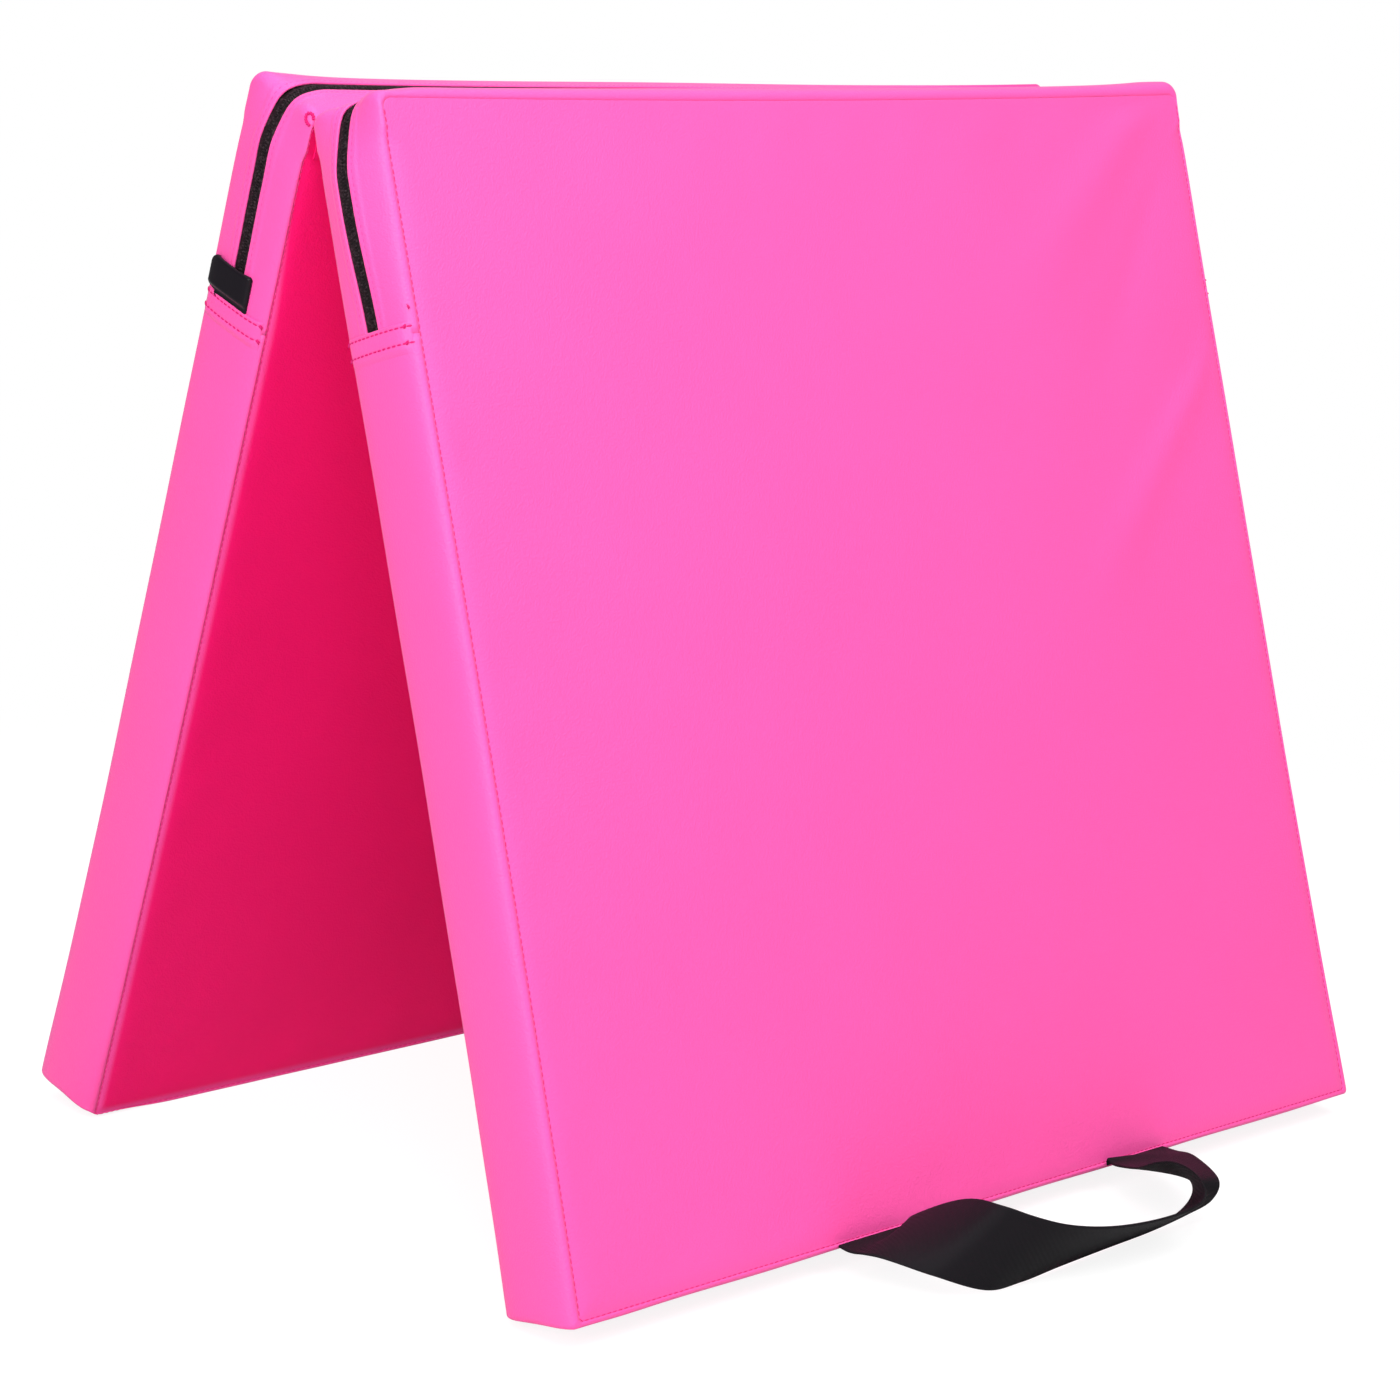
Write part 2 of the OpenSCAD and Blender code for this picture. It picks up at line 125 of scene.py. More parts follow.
class MatSizes(bpy.types.PropertyGroup):
    """Sizes of the mat: those of the CAD part first, then those of its soft forms"""

    panel_w: size_prop("Panel width", "Between the side seams", 0.592)
    panel_l: size_prop("Panel length", "From the fold to the bottom seam", 0.598)
    panel_t: size_prop("Panel thickness", "Over both faces", 0.054)
    cover_t: size_prop("Cover thickness", "Thickness of the coated fabric", 0.001)
    corner_r: size_prop("Corner radius", "Of the face seams", 0.0055)
    lean: bpy.props.FloatProperty(
        name="Lean", description="Of each panel from upright", default=math.radians(17.8), subtype="ANGLE")
    side_crown: size_prop("Side swell", "Of the side walls past the seams", 0.0055)
    floor_crown: size_prop("Floor swell", "Of the end wall at the floor", 0.005)
    side_draw: size_prop("Side draw", "How far the side seams are drawn in", 0.003)
    fold_draw: size_prop("Fold draw", "How far the fold seams are drawn in", 0.0025)
    floor_flat: size_prop("Floor flat", "Depth of the pressed flat", 0.0005)
    fold_gap: size_prop("Fold gap", "From the fold axis to an inner face", 0.00075)
    fold_seam: size_prop("Fold seam", "From the fold axis to the end wall's seams", 0.0035)
    zip_drop: size_prop("Zip drop", "Length of the zip down a side wall", 0.118)
    zip_slot: size_prop("Zip slot", "Width of the open slot", 0.0098)
    tape_w: size_prop("Tape width", "Of one zip tape", 0.008)
    tab_w: size_prop("Tab width", "Across the side wall", 0.035)
    tab_l: size_prop("Tab length", "Up from the hem band", 0.0167)
    tab_shift: size_prop("Tab shift", "Towards the outer face", 0.005)
    band_up: size_prop("Hem band overlap", "Above the end of the zip strips", 0.006)
    webbing_w: size_prop("Webbing width", "Of the handle", 0.048)
    webbing_t: size_prop("Webbing thickness", "Of the handle", 0.0016)
    floor_r: size_prop("Floor corner", "Radius of the face seams at the floor corners", 0.0025)
    zip_round: size_prop("Zip corner radius", "Of the wall's middle where the zip turns", 0.022)
    floor_round: size_prop("Floor corner round", "Radius of the wall's middle at the floor corners", 0.005)
    top_in: size_prop("Top draw", "How far the side seams are drawn in at the fold", 0.0023)
    front_full: size_prop("Front fullness", "Swell of the front panel's end while the mat stands", 0.0105)
    back_full: size_prop("Back fullness", "Swell of the back panel's end while the mat stands", 0.009)
    ear: size_prop("Ear", "Rise of the fold's outer corner on the tab's side", 0.0021)
    back_sag: size_prop("Back sag", "Loss of swell beside the outer seam of the back panel", 0.0018)
    droop: size_prop("Droop", "Fall of the back panel's other corner", 0.0092)
    zip_belly: size_prop("Zip belly", "Extra swell of the side walls' middle along the zip", 0.0036)
    floor_ear: size_prop("Floor ear", "Fall of the floor's outer corners", 0.003)
    front_swell: bpy.props.FloatProperty(
        name="Front wall swell", description="Share added to the swell of the front panel's -X wall",
        default=0.42)
    seam_sink: size_prop("Seam sink", "Of the seams below the faces", 0.0012)
    seam_roll: size_prop("Seam roll", "Height of the roll beside a seam", 0.0008)
    stitch: size_prop("Stitch", "Pitch of the stitches", 0.0036)


class MatColours(bpy.types.PropertyGroup):
    """Colours of the mat, linear"""

    cover: colour_prop("Cover", "Coated fabric", (0.94, 0.083, 0.368))
    # Inside: painted shade and painted pink bounce light. The inner faces are the cover's own fabric, given
    # this darker, deeper pink for the shade inside the V
    inside: colour_prop("Inside", "Coated fabric of the inner faces", (0.95, 0.008, 0.175))
    thread: colour_prop("Thread", "Stitches", (0.85, 0.03, 0.25))
    seam: colour_prop("Outer seams", "Stitches of the outer faces", (0.66, 0.025, 0.18))
    hem_thread: colour_prop("Hem thread", "Stitches of the hems", (0.6, 0.008, 0.15))
    tape: colour_prop("Zip", "Zip tape and coil", (0.010, 0.005, 0.007))
    tab: colour_prop("Tab", "Black tab", (0.007, 0.005, 0.008))
    webbing: colour_prop("Webbing", "Handle", (0.008, 0.007, 0.009))
    foam: colour_prop("Foam", "Filling", (0.88, 0.86, 0.8))


# Surfaces


def swell(w):
    """Swell of a wall at a share w of its thickness: a superellipse of power 2.6."""
    return np.maximum(0.0, 1.0 - np.abs(2.0 * w - 1.0) ** 2.6) ** (1 / 2.6)


def smooth(a, b, x):
    """Smooth step from 0 at a to 1 at b."""
    t = np.clip((x - a) / (b - a), 0.0, 1.0)
    return t * t * (3.0 - 2.0 * t)


def bell(x, width):
    """Bell curve, 1 in the middle."""
    return np.exp(-((x / width) ** 2))


def corner_sizes(s, panel):
    """Small radius of the seam and wide radius of the wall's middle, at a panel's fold or at the floor."""
    return (s.corner_r, s.zip_round) if panel else (s.floor_r, s.floor_round)


def corner_length(r, wide):
    """Length of the seam round a corner, as far as the wall's middle takes to turn it on a wide arc."""
    return 2 * (wide - r) + r * math.pi / 2


def corner_bend(side, end, run, r, wide):
    """Outward direction, shift of the wall's middle and share of the way, at lengths run round a corner.

    The seam turns on a small arc and the wall's middle on a wide one; both start at the side
    wall and end at the end wall, and a share of one's length goes with that share of the other's."""
    total = corner_length(r, wide)
    t = np.clip(run, 0.0, total)
    turn = np.clip((t - wide + r) / r, 0.0, math.pi / 2)
    past = np.clip(t - total + wide - r, 0.0, None)
    ahead = np.clip(wide - r - t, 0.0, None)
    phi = math.pi / 2 * t / total
    du = wide - wide * np.cos(phi) - (r - r * np.cos(turn) + past)
    dv = wide - wide * np.sin(phi) - (r - r * np.sin(turn) + ahead)
    return side * np.cos(phi), end * np.sin(phi), -side * du, -end * dv, t / total


def fold_swell(s, x, panel):
    """Swell of the end wall at the fold, and its rise beside the outer seam, highest in one ear."""
    half = s.panel_w / 2 - s.top_in - s.corner_r
    d = half - np.clip(x, -half, half)
    if panel == "front":
        up = s.front_full - 0.0015 * smooth(0.35, 0.57, d) - 0.002 * bell(2 * half - d, 0.014)
        return up, s.ear * np.exp(-((d / 0.031) ** 1.3))
    up = s.back_full - s.droop * smooth(0.22, 0.62, d)
    return up, (s.ear + s.back_sag) * np.exp(-d / 0.027) - s.back_sag


def corner_swell(s, side, panel):
    """Sideways swell at a corner: drawn in at the fold, most on the back panel, and full at the floor."""
    return side * s.side_crown * CORNER_SWELL.get(panel, FLOOR_CORNER_SWELL)


def side_stations(s, side, v, panel):
    """Stations of a side wall at distances v below the fold axis, drawn in by a parabola.

    A station is [x, y, outward x, outward y, swell x, swell y, shift x, shift y, ear]; the shift
    is that of the wall's middle. On the +X side the zip is straight where its slider runs."""
    top, end = s.fold_seam + s.corner_r, s.panel_l - s.floor_r
    mid, half = (top + end) / 2, (end - top) / 2
    low = v > mid
    back_out = np.where(low, s.side_draw, s.side_draw - s.top_in)
    x = side * (s.panel_w / 2 - s.side_draw + back_out * ((v - mid) / half) ** 2)
    share, below, reach = DIPS.get((panel, side), PLAIN_DIP)
    dip, more = share * bell(v - top - below, reach), 0.0
    if (panel, side) == ("front", -1):
        more = s.front_swell * smooth(-0.01, 0.03, v - top) * smooth(0.02, 0.1, s.panel_l - v)
    crown = s.side_crown * (1 + more - dip + 0.5 * bell(v - end, 0.06))
    wave = 0.0005 * np.sin(v * 31.0 + 1.3 * side) * np.sin(v * 11.0 + 0.4)
    crown = crown + wave * smooth(0.03, 0.08, v) * smooth(0.03, 0.08, s.panel_l - v)
    r, wide = corner_sizes(s, "front")
    nx, ny, dx, dy, f = corner_bend(side, 1.0, wide - (v - s.fold_seam), r, wide)
    up = smooth(0.0, (wide - r) / corner_length(r, wide), f)
    r, wide = corner_sizes(s, None)
    mx, my, ex, ey, g = corner_bend(side, -1.0, wide - (s.panel_l - v), r, wide)
    down = smooth(0.0, (wide - r) / corner_length(r, wide), g)
    full, ear = fold_swell(s, side * s.panel_w / 2, panel)
    if side < 0:
        belly = -s.zip_belly * smooth(0.0, 0.03, v - top) * smooth(0.112, 0.05, v)
    else:
        belly = 0.6 * s.zip_belly * smooth(0.0, 0.016, v - top) * smooth(0.046, 0.012, v)
    return np.stack([x, -v, np.where(low, mx, nx), np.where(low, my, ny), side * crown,
                     up * full, dx + ex + belly, dy + ey, up * ear - down * s.floor_ear], 1)


def end_stations(s, x, panel):
    """Stations of an end wall: at the fold of a panel, or at the floor when panel is None."""
    r, wide = corner_sizes(s, panel)
    edge = s.panel_w / 2 - (s.top_in if panel else 0.0)
    half, total = edge - r, corner_length(r, wide)
    side, end = np.sign(x), 1.0 if panel else -1.0
    nx, ny, dx, dy, f = corner_bend(side, end, total - np.clip(wide - edge + np.abs(x), 0.0, None), r, wide)
    corner = np.where(x > 0, corner_swell(s, 1, panel), corner_swell(s, -1, panel))
    out = corner * (1 - smooth(1 - (wide - r) / total, 1.0, f))
    if panel:
        y = -s.fold_seam - s.fold_draw * (1 - (x / half) ** 2)
        up, ear = fold_swell(s, x, panel)
    else:
        d = half - np.abs(x)
        y, ear = np.full_like(x, -s.panel_l), -s.floor_ear * bell(d, 0.03)
        up = -s.floor_crown * (1 - bell(d, 0.026)) + 0.0003 * np.sin(x * 47.0) * smooth(0.0, 0.05, d)
    return np.stack([x, y, nx, ny, out, up, dx, dy, ear], 1)


def corner_stations(s, side, panel, forward):
    """Stations round a corner's arc, its two ends left out, from the side wall to the end wall or back."""
    steps = 10
    a = math.pi / 2 * np.arange(1, steps) / steps
    r, wide = corner_sizes(s, panel)
    end = 1.0 if panel else -1.0
    nx, ny, dx, dy, _ = corner_bend(side, end, wide - r + r * a, r, wide)
    x = side * (s.panel_w / 2 - (s.top_in if panel else 0.0) - r * (1 - np.cos(a)))
    y = -s.fold_seam - r * (1 - np.sin(a)) if panel else -s.panel_l + r * (1 - np.sin(a))
    up, ear = fold_swell(s, side * s.panel_w / 2, panel) if panel else (0.0, -s.floor_ear)
    one = np.ones_like(a)
    out = np.stack([x, y, nx, ny, corner_swell(s, side, panel) * one, up * one, dx, dy, ear * one], 1)
    return out if forward else out[::-1]


def spread(a, b, step=0.004):
    """Even positions from a to b."""
    return np.linspace(a, b, max(2, int(round(abs(b - a) / step)) + 1))


def end_places(half, inside, step):
    """Positions along an end wall from -half to half, closer together past the inside stretch."""
    return np.concatenate([
        spread(-half, -inside, step)[:-1], spread(-inside, inside)[:-1], spread(inside, half, step)])


def zip_route(s, panel):
    """The zip's route: up the -X side, along the fold and down the +X side."""
    top, half = s.fold_seam + s.corner_r, s.panel_w / 2 - s.top_in - s.corner_r
    near = spread(s.zip_drop, ZIP_TURN)
    return np.concatenate([
        side_stations(s, -1, np.concatenate([near[:-1], spread(ZIP_TURN, top, FOLD_STEP)]), panel),
        corner_stations(s, -1, panel, True),
        end_stations(s, end_places(half, half - 0.04, FOLD_STEP), panel),
        corner_stations(s, 1, panel, False),
        side_stations(s, 1, np.concatenate([spread(top, ZIP_TURN, FOLD_STEP)[:-1], near[::-1]]), panel),
    ])


def box_route(s, panel):
    """The plain strip's route: down the +X side, along the floor and up the -X side."""
    end, half = s.panel_l - s.floor_r, s.panel_w / 2 - s.floor_r
    low = end - FLOOR_TURN
    down = np.concatenate([spread(s.zip_drop, low)[:-1], spread(low, end, FLOOR_STEP)])
    up = np.concatenate([spread(end, low, FLOOR_STEP)[:-1], spread(low, s.zip_drop)])
    return np.concatenate([
        side_stations(s, 1, down, panel),
        corner_stations(s, 1, None, True),
        end_stations(s, end_places(-half, FLOOR_TURN - half, FLOOR_STEP), None),
        corner_stations(s, -1, None, False),
        side_stations(s, -1, up, panel),
    ])


def unit(v):
    """Rows brought to length 1."""
    return v / np.linalg.norm(v, axis=1, keepdims=True)


def run_length(points):
    """Length along a line at each of its points."""
    return np.concatenate([[0.0], np.cumsum(np.linalg.norm(np.diff(points, axis=0), axis=1))])


def along(route):
    """Length along a route at each of its stations."""
    return run_length(route[:, :2])


def middle(w):
    """Share of the wall's wide corner at levels w: a sine, 1 half-way through the thickness."""
    return np.sin(math.pi * np.clip(w, 0, 1)) ** 2.2


def outer_side(w):
    """Share of the ear at levels w: rising from the middle, full near the outer seam, nothing at it."""
    return np.where(w < 0.85, smooth(0.5, 0.85, w), np.sqrt(np.clip(1 - ((w - 0.85) / 0.15) ** 2, 0, 1)))


def floor_side(w):
    """Share of the floor ear at levels w: a straight slant from up at the inner seam to down at the outer."""
    ends = np.clip(1 - np.minimum(w, 1 - w) / 0.06, 0, 1)
    return (w - 0.4) / 0.55 * np.sqrt(1 - ends ** 2)


def wall_point(s, w):
    """Share of swell, share of shift and height of the wall at levels w, with a roll beside each seam."""
    share = swell(w)
    roll = s.seam_roll * 4 * share * (1 - share) * np.where(w < 0.5, -1.0, 1.0)
    return share, middle(w), s.seam_sink + w * (s.panel_t - 2 * s.seam_sink) + roll


def meet(s, route, z):
    """Shift of points near the faces at the fold: the inner edge swells until it nearly meets the
    other panel's, and the outer one until it is level with the face."""
    at_fold = np.clip(route[:, 5] / (s.back_full / 3), 0, 1)
    shift = s.seam_sink * bell(s.panel_t - z, 0.006) - (s.seam_sink + 0.0004) * bell(z, 0.006)
    return at_fold[:, None] * shift[None, :]


def carry(route, off, share, mid, ear):
    """Place of wall points seen along Z: the station's, moved outward, by its swell, shift and ear."""
    x = route[..., 0] + route[..., 2] * off + route[..., 4] * share + route[..., 6] * mid
    y = (route[..., 1] + route[..., 3] * off + route[..., 5] * share + route[..., 7] * mid
         + route[..., 8] * ear)
    return x, y


def place(s, route, section):
    """Sets a section [share of swell, share of shift, plain offset, height, share of ear] at each station."""
    share, mid, off, z, ear = section.T
    x, y = carry(route[:, None], off, share, mid, ear)
    return np.stack([x, y, z[None, :] + meet(s, route, z)], 2)


def axis_height(s):
    """Height of the fold axis: the lowest level of the bottom wall, less the pressed flat."""
    w = np.array([0, 0.03, 0.1, 0.28, 0.5, 0.72, 0.9, 0.97, 1])
    down = (s.panel_l + s.floor_crown * swell(w)) * math.cos(s.lean)
    low = down - (w * s.panel_t + s.fold_gap) * math.sin(s.lean)
    return float(low.max()) - s.floor_flat


def stand(s, points, panel):
    """Leans pad points about the fold axis, sets them on the floor and turns them for the back panel."""
    p = np.asarray(points, float).reshape(-1, 3)
    c, k = math.cos(s.lean), math.sin(s.lean)
    z = p[:, 2] + s.fold_gap
    out = np.stack([p[:, 0], p[:, 1] * k - z * c, axis_height(s) + p[:, 1] * c + z * k], 1)
    out[:, 2] = np.maximum(out[:, 2], 0.0)
    if panel == "back":
        out[:, :2] *= -1
    return out


# Meshes


def grid_quads(rows, cols, wrap=False, start=0):
    """Quads of a grid of points, row after row; wrap closes each row on itself."""
    i = np.arange(rows - 1)[:, None]
    j = np.arange(cols if wrap else cols - 1)[None, :]
    k = (j + 1) % cols
    a, b = i * cols + j, i * cols + k
    c, d = (i + 1) * cols + k, (i + 1) * cols + j
    return start + np.stack([a, b, c, d], 2).reshape(-1, 4)


def cap_quads(first, sides, turned):
    """Quads over the end of a tube whose section runs out and back."""
    j = np.arange(sides // 2 - 1)
    q = first + np.stack([j, j + 1, sides - 2 - j, sides - 1 - j], 1)
    return q[:, ::-1] if turned else q


def tube(grid):
    """Faces of a closed tube of equal sections, with both ends capped."""
    rows, sides = grid.shape[:2]
    return np.concatenate([
        grid_quads(rows, sides, True),
        cap_quads(0, sides, True),
        cap_quads((rows - 1) * sides, sides, False),
    ])


def make(name, points, quads, mat, uv=None, smooth_faces=True):
    """A mesh object from points and quads; a quad that repeats its last corner is a triangle."""
    points = np.asarray(points, float).reshape(-1, 3)
    quads = np.asarray(quads, np.int64)
    count = np.where(quads[:, 2] == quads[:, 3], 3, 4)
    keep = np.arange(4)[None, :] < count[:, None]
    loops = quads[keep]
    mesh = bpy.data.meshes.new(name)
    mesh.vertices.add(len(points))
    mesh.vertices.foreach_set("co", points.astype(np.float32).ravel())
    mesh.loops.add(len(loops))
    mesh.loops.foreach_set("vertex_index", loops.astype(np.int32))
    mesh.polygons.add(len(quads))
    starts = np.concatenate([[0], np.cumsum(count)[:-1]])
    mesh.polygons.foreach_set("loop_start", starts.astype(np.int32))
    mesh.polygons.foreach_set("use_smooth", np.full(len(quads), smooth_faces))
    if uv is not None:
        layer = mesh.uv_layers.new(name="UVMap")
        layer.data.foreach_set("uv", np.asarray(uv, np.float32).reshape(-1, 2)[loops].ravel())
    mesh.update(calc_edges=True)
    if mesh.validate():
        raise RuntimeError(f"{name}: the mesh has bad faces")
    obj = bpy.data.objects.new(name, mesh)
    bpy.context.scene.collection.objects.link(obj)
    mesh.materials.append(mat)
    return obj


def outward(points, quads):
    """Turns all faces round if the closed mesh has a negative volume."""
    p = np.asarray(points).reshape(-1, 3)
    a, b, c, d = (p[quads[:, k]] for k in range(4))
    volume = (np.einsum("ij,ij->i", a, np.cross(b, c)) + np.einsum("ij,ij->i", a, np.cross(c, d))).sum()
    return quads if volume > 0 else flip(quads)


def flip(quads):
    """The same faces seen from the other side, triangles included."""
    tri = quads[:, 2] == quads[:, 3]
    turned = quads[:, [0, 3, 2, 1]]
    turned[tri] = quads[tri][:, [0, 2, 1, 1]]
    return turned


def fan(first, cols, tip):
    """Triangles from a ring of points to a tip."""
    j = np.arange(cols)
    return np.stack([first + j, first + (j + 1) % cols, np.full(cols, tip), np.full(cols, tip)], 1)


def beads(centres, along_dir, up_dir, length, width, height):
    """Small rounded stitches, one per centre: a capsule of a few faces along along_dir."""
    sides, rings = 6, 4
    t = np.linspace(-1, 1, rings + 1)
    r = np.sqrt(np.maximum(0.06, 1 - np.abs(t) ** 3))
    a = np.arange(sides) / sides * 2 * math.pi
    shape = np.stack([
        np.repeat(t[:, None], sides, 1) * length / 2,
        r[:, None] * np.cos(a)[None, :] * width / 2,
        r[:, None] * np.sin(a)[None, :] * height / 2,
    ], 2)
    one, shape = tube(shape), shape.reshape(-1, 3)
    d = unit(along_dir)
    side = unit(np.cross(up_dir, d))
    up = np.cross(d, side)
    points = (centres[:, None, :] + shape[None, :, :1] * d[:, None, :]
              + shape[None, :, 1:2] * side[:, None, :] + shape[None, :, 2:] * up[:, None, :])
    faces = (one[None] + (np.arange(len(centres)) * len(shape))[:, None, None]).reshape(-1, 4)
    points = points.reshape(-1, 3)
    return points, outward(points, faces)


# Materials


def fill(node, inputs):
    """Sets inputs of a node, or links them where the value is an output of another node."""
    for key, value in inputs.items():
        if isinstance(value, bpy.types.NodeSocket):
            node.id_data.links.new(value, node.inputs[key])
        else:
            node.inputs[key].default_value = value


def node_maker(tree):
    """A function that adds a shader node with its inputs and settings to a tree."""

    def node(kind, inputs=None, **settings):
        made = tree.nodes.new("ShaderNode" + kind)
        for key, value in settings.items():
            setattr(made, key, value)
        fill(made, inputs or {})
        return made

    return node


def new_material(name):
    """A node material: itself, its shader and a maker of its nodes."""
    mat = bpy.data.materials.new(name)
    mat.use_nodes = True
    return mat, mat.node_tree.nodes["Principled BSDF"], node_maker(mat.node_tree)


def cover_material(name, colour):
    """Coated fabric: a fine pebbled grain, faint cloudiness and a soft sheen."""
    mat, shader, node = new_material(name)
    coords = node("TexCoord").outputs["Object"]
    cloud = node("TexNoise", {"Vector": coords, "Scale": 14.0, "Detail": 3.0})
    tone = node("MapRange", {"Value": cloud.outputs["Fac"], "To Min": 0.97, "To Max": 1.03})
    shade = node("HueSaturation", {"Color": (*colour, 1.0), "Value": tone.outputs["Result"]})
    grain = node("TexVoronoi", {"Vector": coords, "Scale": 950.0})
    fibre = node("TexNoise", {"Vector": coords, "Scale": 420.0, "Detail": 4.0})
    height = node("Math", {0: grain.outputs["Distance"], 1: fibre.outputs["Fac"]}, operation="ADD")
    bump = node("Bump", {"Height": height.outputs["Value"], "Strength": 0.36, "Distance": 0.0004})
    fill(shader, {"Base Color": shade.outputs["Color"], "Normal": bump.outputs["Normal"], "Roughness": 0.52,
                  "Specular IOR Level": 0.35, "Sheen Weight": 0.12, "Sheen Roughness": 0.4})
    return mat


def shaded_inside_material(name, edge, colour):
    """Coated fabric of an inner face with painted shade: the edge, which turns over to the seam, keeps the
    cover's own colour, and the face takes a darker, deeper pink copy of it that stands in for the shade and
    pink bounce light inside the V.
    """
    mat = cover_material(name, colour)
    shader, node = mat.node_tree.nodes["Principled BSDF"], node_maker(mat.node_tree)
    shade = shader.inputs["Base Color"].links[0].from_node
    depth = node("SeparateXYZ", {0: node("TexCoord").outputs["UV"]})
    reach = node("MapRange", {"Value": depth.outputs["X"], "From Min": 0.0012, "From Max": 0.0058},
                 interpolation_type="SMOOTHSTEP")
    # Painted shade: the cover's own colour in the strip by the seam, the shaded copy over the rest of the
    # face
    mix = node("Mix", {"A": (*edge, 1.0), "B": (*colour, 1.0), "Factor": reach.outputs["Result"]},
               data_type="RGBA")
    fill(shade, {"Color": mix.outputs["Result"]})
    fill(shader, {"Specular IOR Level": 0.12, "Sheen Weight": 0.0})
    return mat


def plain_material(name, colour, roughness, specular, grain=0.0, scale=900.0):
    """A plain finish with a fine uneven grain."""
    mat, shader, node = new_material(name)
    coords = node("TexCoord").outputs["Object"]
    noise = node("TexNoise", {"Vector": coords, "Scale": scale, "Detail": 3.0}).outputs["Fac"]
    tone = node("MapRange",
                {"Value": noise, "To Min": max(0.02, roughness - 0.06), "To Max": roughness + 0.06})
    fill(shader, {"Base Color": (*colour, 1.0), "Roughness": tone.outputs["Result"],
                  "Specular IOR Level": specular})
    if grain:
        bump = node("Bump", {"Height": noise, "Strength": grain, "Distance": 0.0003})
        fill(shader, {"Normal": bump.outputs["Normal"]})
    return mat


def tape_material(name, colour):
    """Woven zip tape and coil: black with fine paler specks, matt."""
    mat, shader, node = new_material(name)
    coords = node("TexCoord").outputs["Object"]
    specks = node("TexVoronoi", {"Vector": coords, "Scale": 520.0}).outputs["Distance"]
    level = node("MapRange", {"Value": specks, "From Min": 0.15, "From Max": 0.5})
    pale = (*(3.2 * np.array(colour) + 0.010), 1.0)
    mix = node("Mix", {"A": pale, "B": (*colour, 1.0), "Factor": level.outputs["Result"]},
               data_type="RGBA")
    bump = node("Bump", {"Height": specks, "Strength": 0.5, "Distance": 0.0003})
    fill(shader, {"Base Color": mix.outputs["Result"], "Normal": bump.outputs["Normal"], "Roughness": 0.65,
                  "Specular IOR Level": 0.15})
    return mat


def webbing_material(name, colour):
    """Woven webbing: slanted ribs along the strap with cross threads, a soft satin shine."""
    mat, shader, node = new_material(name)
    uv = node("TexCoord").outputs["UV"]
    rib = node("TexWave", {"Vector": uv, "Scale": 180.0, "Distortion": 0.6},
               wave_type="BANDS", bands_direction="DIAGONAL")
    cross = node("TexWave", {"Vector": uv, "Scale": 420.0, "Distortion": 0.4},
                 wave_type="BANDS", bands_direction="X")
    height = node("Math", {0: rib.outputs["Fac"], 1: cross.outputs["Fac"]}, operation="ADD")
    bump = node("Bump", {"Height": height.outputs["Value"], "Strength": 0.3, "Distance": 0.0003})
    fill(shader, {"Base Color": (*colour, 1.0), "Normal": bump.outputs["Normal"], "Roughness": 0.55,
                  "Specular IOR Level": 0.08})
    return mat


def material(key):
    """The material of a part of the mat, made once."""
    name = f"mat_{key}"
    if name in bpy.data.materials:
        return bpy.data.materials[name]
    c = bpy.context.scene.mat_colours
    makers = {
        "cover": (cover_material, c.cover),
        # Inner faces and hinge strip: the cover's colour by the seam, painted shade over the rest
        "inside": (shaded_inside_material, c.cover, c.inside),
        "thread": (plain_material, c.thread, 0.6, 0.2),
        "seam": (plain_material, c.seam, 0.6, 0.2),
        "hem_thread": (plain_material, c.hem_thread, 0.6, 0.2),
        "tape": (tape_material, c.tape),
        "slider": (plain_material, c.tab, 0.35, 0.5),
        "tab": (plain_material, c.tab, 0.33, 0.14, 0.12, 500.0),
        "foam": (plain_material, c.foam, 0.9, 0.2, 0.4, 600.0),
        "webbing": (webbing_material, c.webbing),
    }
    maker, *values = makers[key]
    return maker(name, *values)


# Pieces


def face_rings(s):
    """Distances of a face's rings from the seam, fine beside it."""
    near = [0, 0.4, 0.9, 1.6, 2.5, 3.6, 5, 7, 9.5, 12.5, 16.5, 22, 29, 38, 48]
    return np.concatenate([np.array(near) / 1000, np.arange(0.055, s.panel_w / 2 - 0.004, 0.007)])


# Ends x, y and x, y of each crease, its width and its height
CREASES = (
    (0.270, 0.0, 0.150, -0.105, 0.019, 0.0019),
    (0.278, -0.165, 0.178, -0.266, 0.012, 0.0016),
    (0.262, -0.060, 0.190, -0.165, 0.015, -0.0009),
    (-0.285, -0.170, -0.225, -0.225, 0.012, -0.0007),
)


def creases(x, y):
    """Soft folds of a face: each a bell across a line from one point to another, fading at both ends."""
    lift = 0 * x
    for x0, y0, x1, y1, width, height in CREASES:
        length = math.hypot(x1 - x0, y1 - y0)
        ux, uy = (x1 - x0) / length, (y1 - y0) / length
        t = ((x - x0) * ux + (y - y0) * uy) / length
        across = (x - x0) * uy - (y - y0) * ux
        fold = height * bell(across, width * (0.6 + 0.7 * np.clip(t, 0, 1.4)))
        lift = lift + fold * smooth(-0.3, 0.25, t) * smooth(1.5, 0.6, t)
    return lift


def seam_edge(d):
    """Share of what happens at a seam that is left at a distance d from it."""
    return np.exp(-((d / SEAM_REACH) ** 1.3))


def face_height(s, x, y, d):
    """Height of a face over its plane: sunk at the seam, slow soft waves, fine ones beside the seam."""
    sink = s.seam_sink * seam_edge(d)
    wave = (np.sin(9.0 * x + 14.0 * y + 0.6) * np.sin(17.0 * x - 6.0 * y + 1.1)
            + 0.6 * np.sin(23.0 * x + 4.0 * y + 2.0) * np.sin(5.0 * x + 27.0 * y))
    edge = np.sin(np.arctan2(y + s.panel_l / 2, x) * 34.0) * bell(d - 0.02, 0.014)
    return -sink + 0.00055 * wave * smooth(0.004, 0.08, d) + 0.00018 * edge


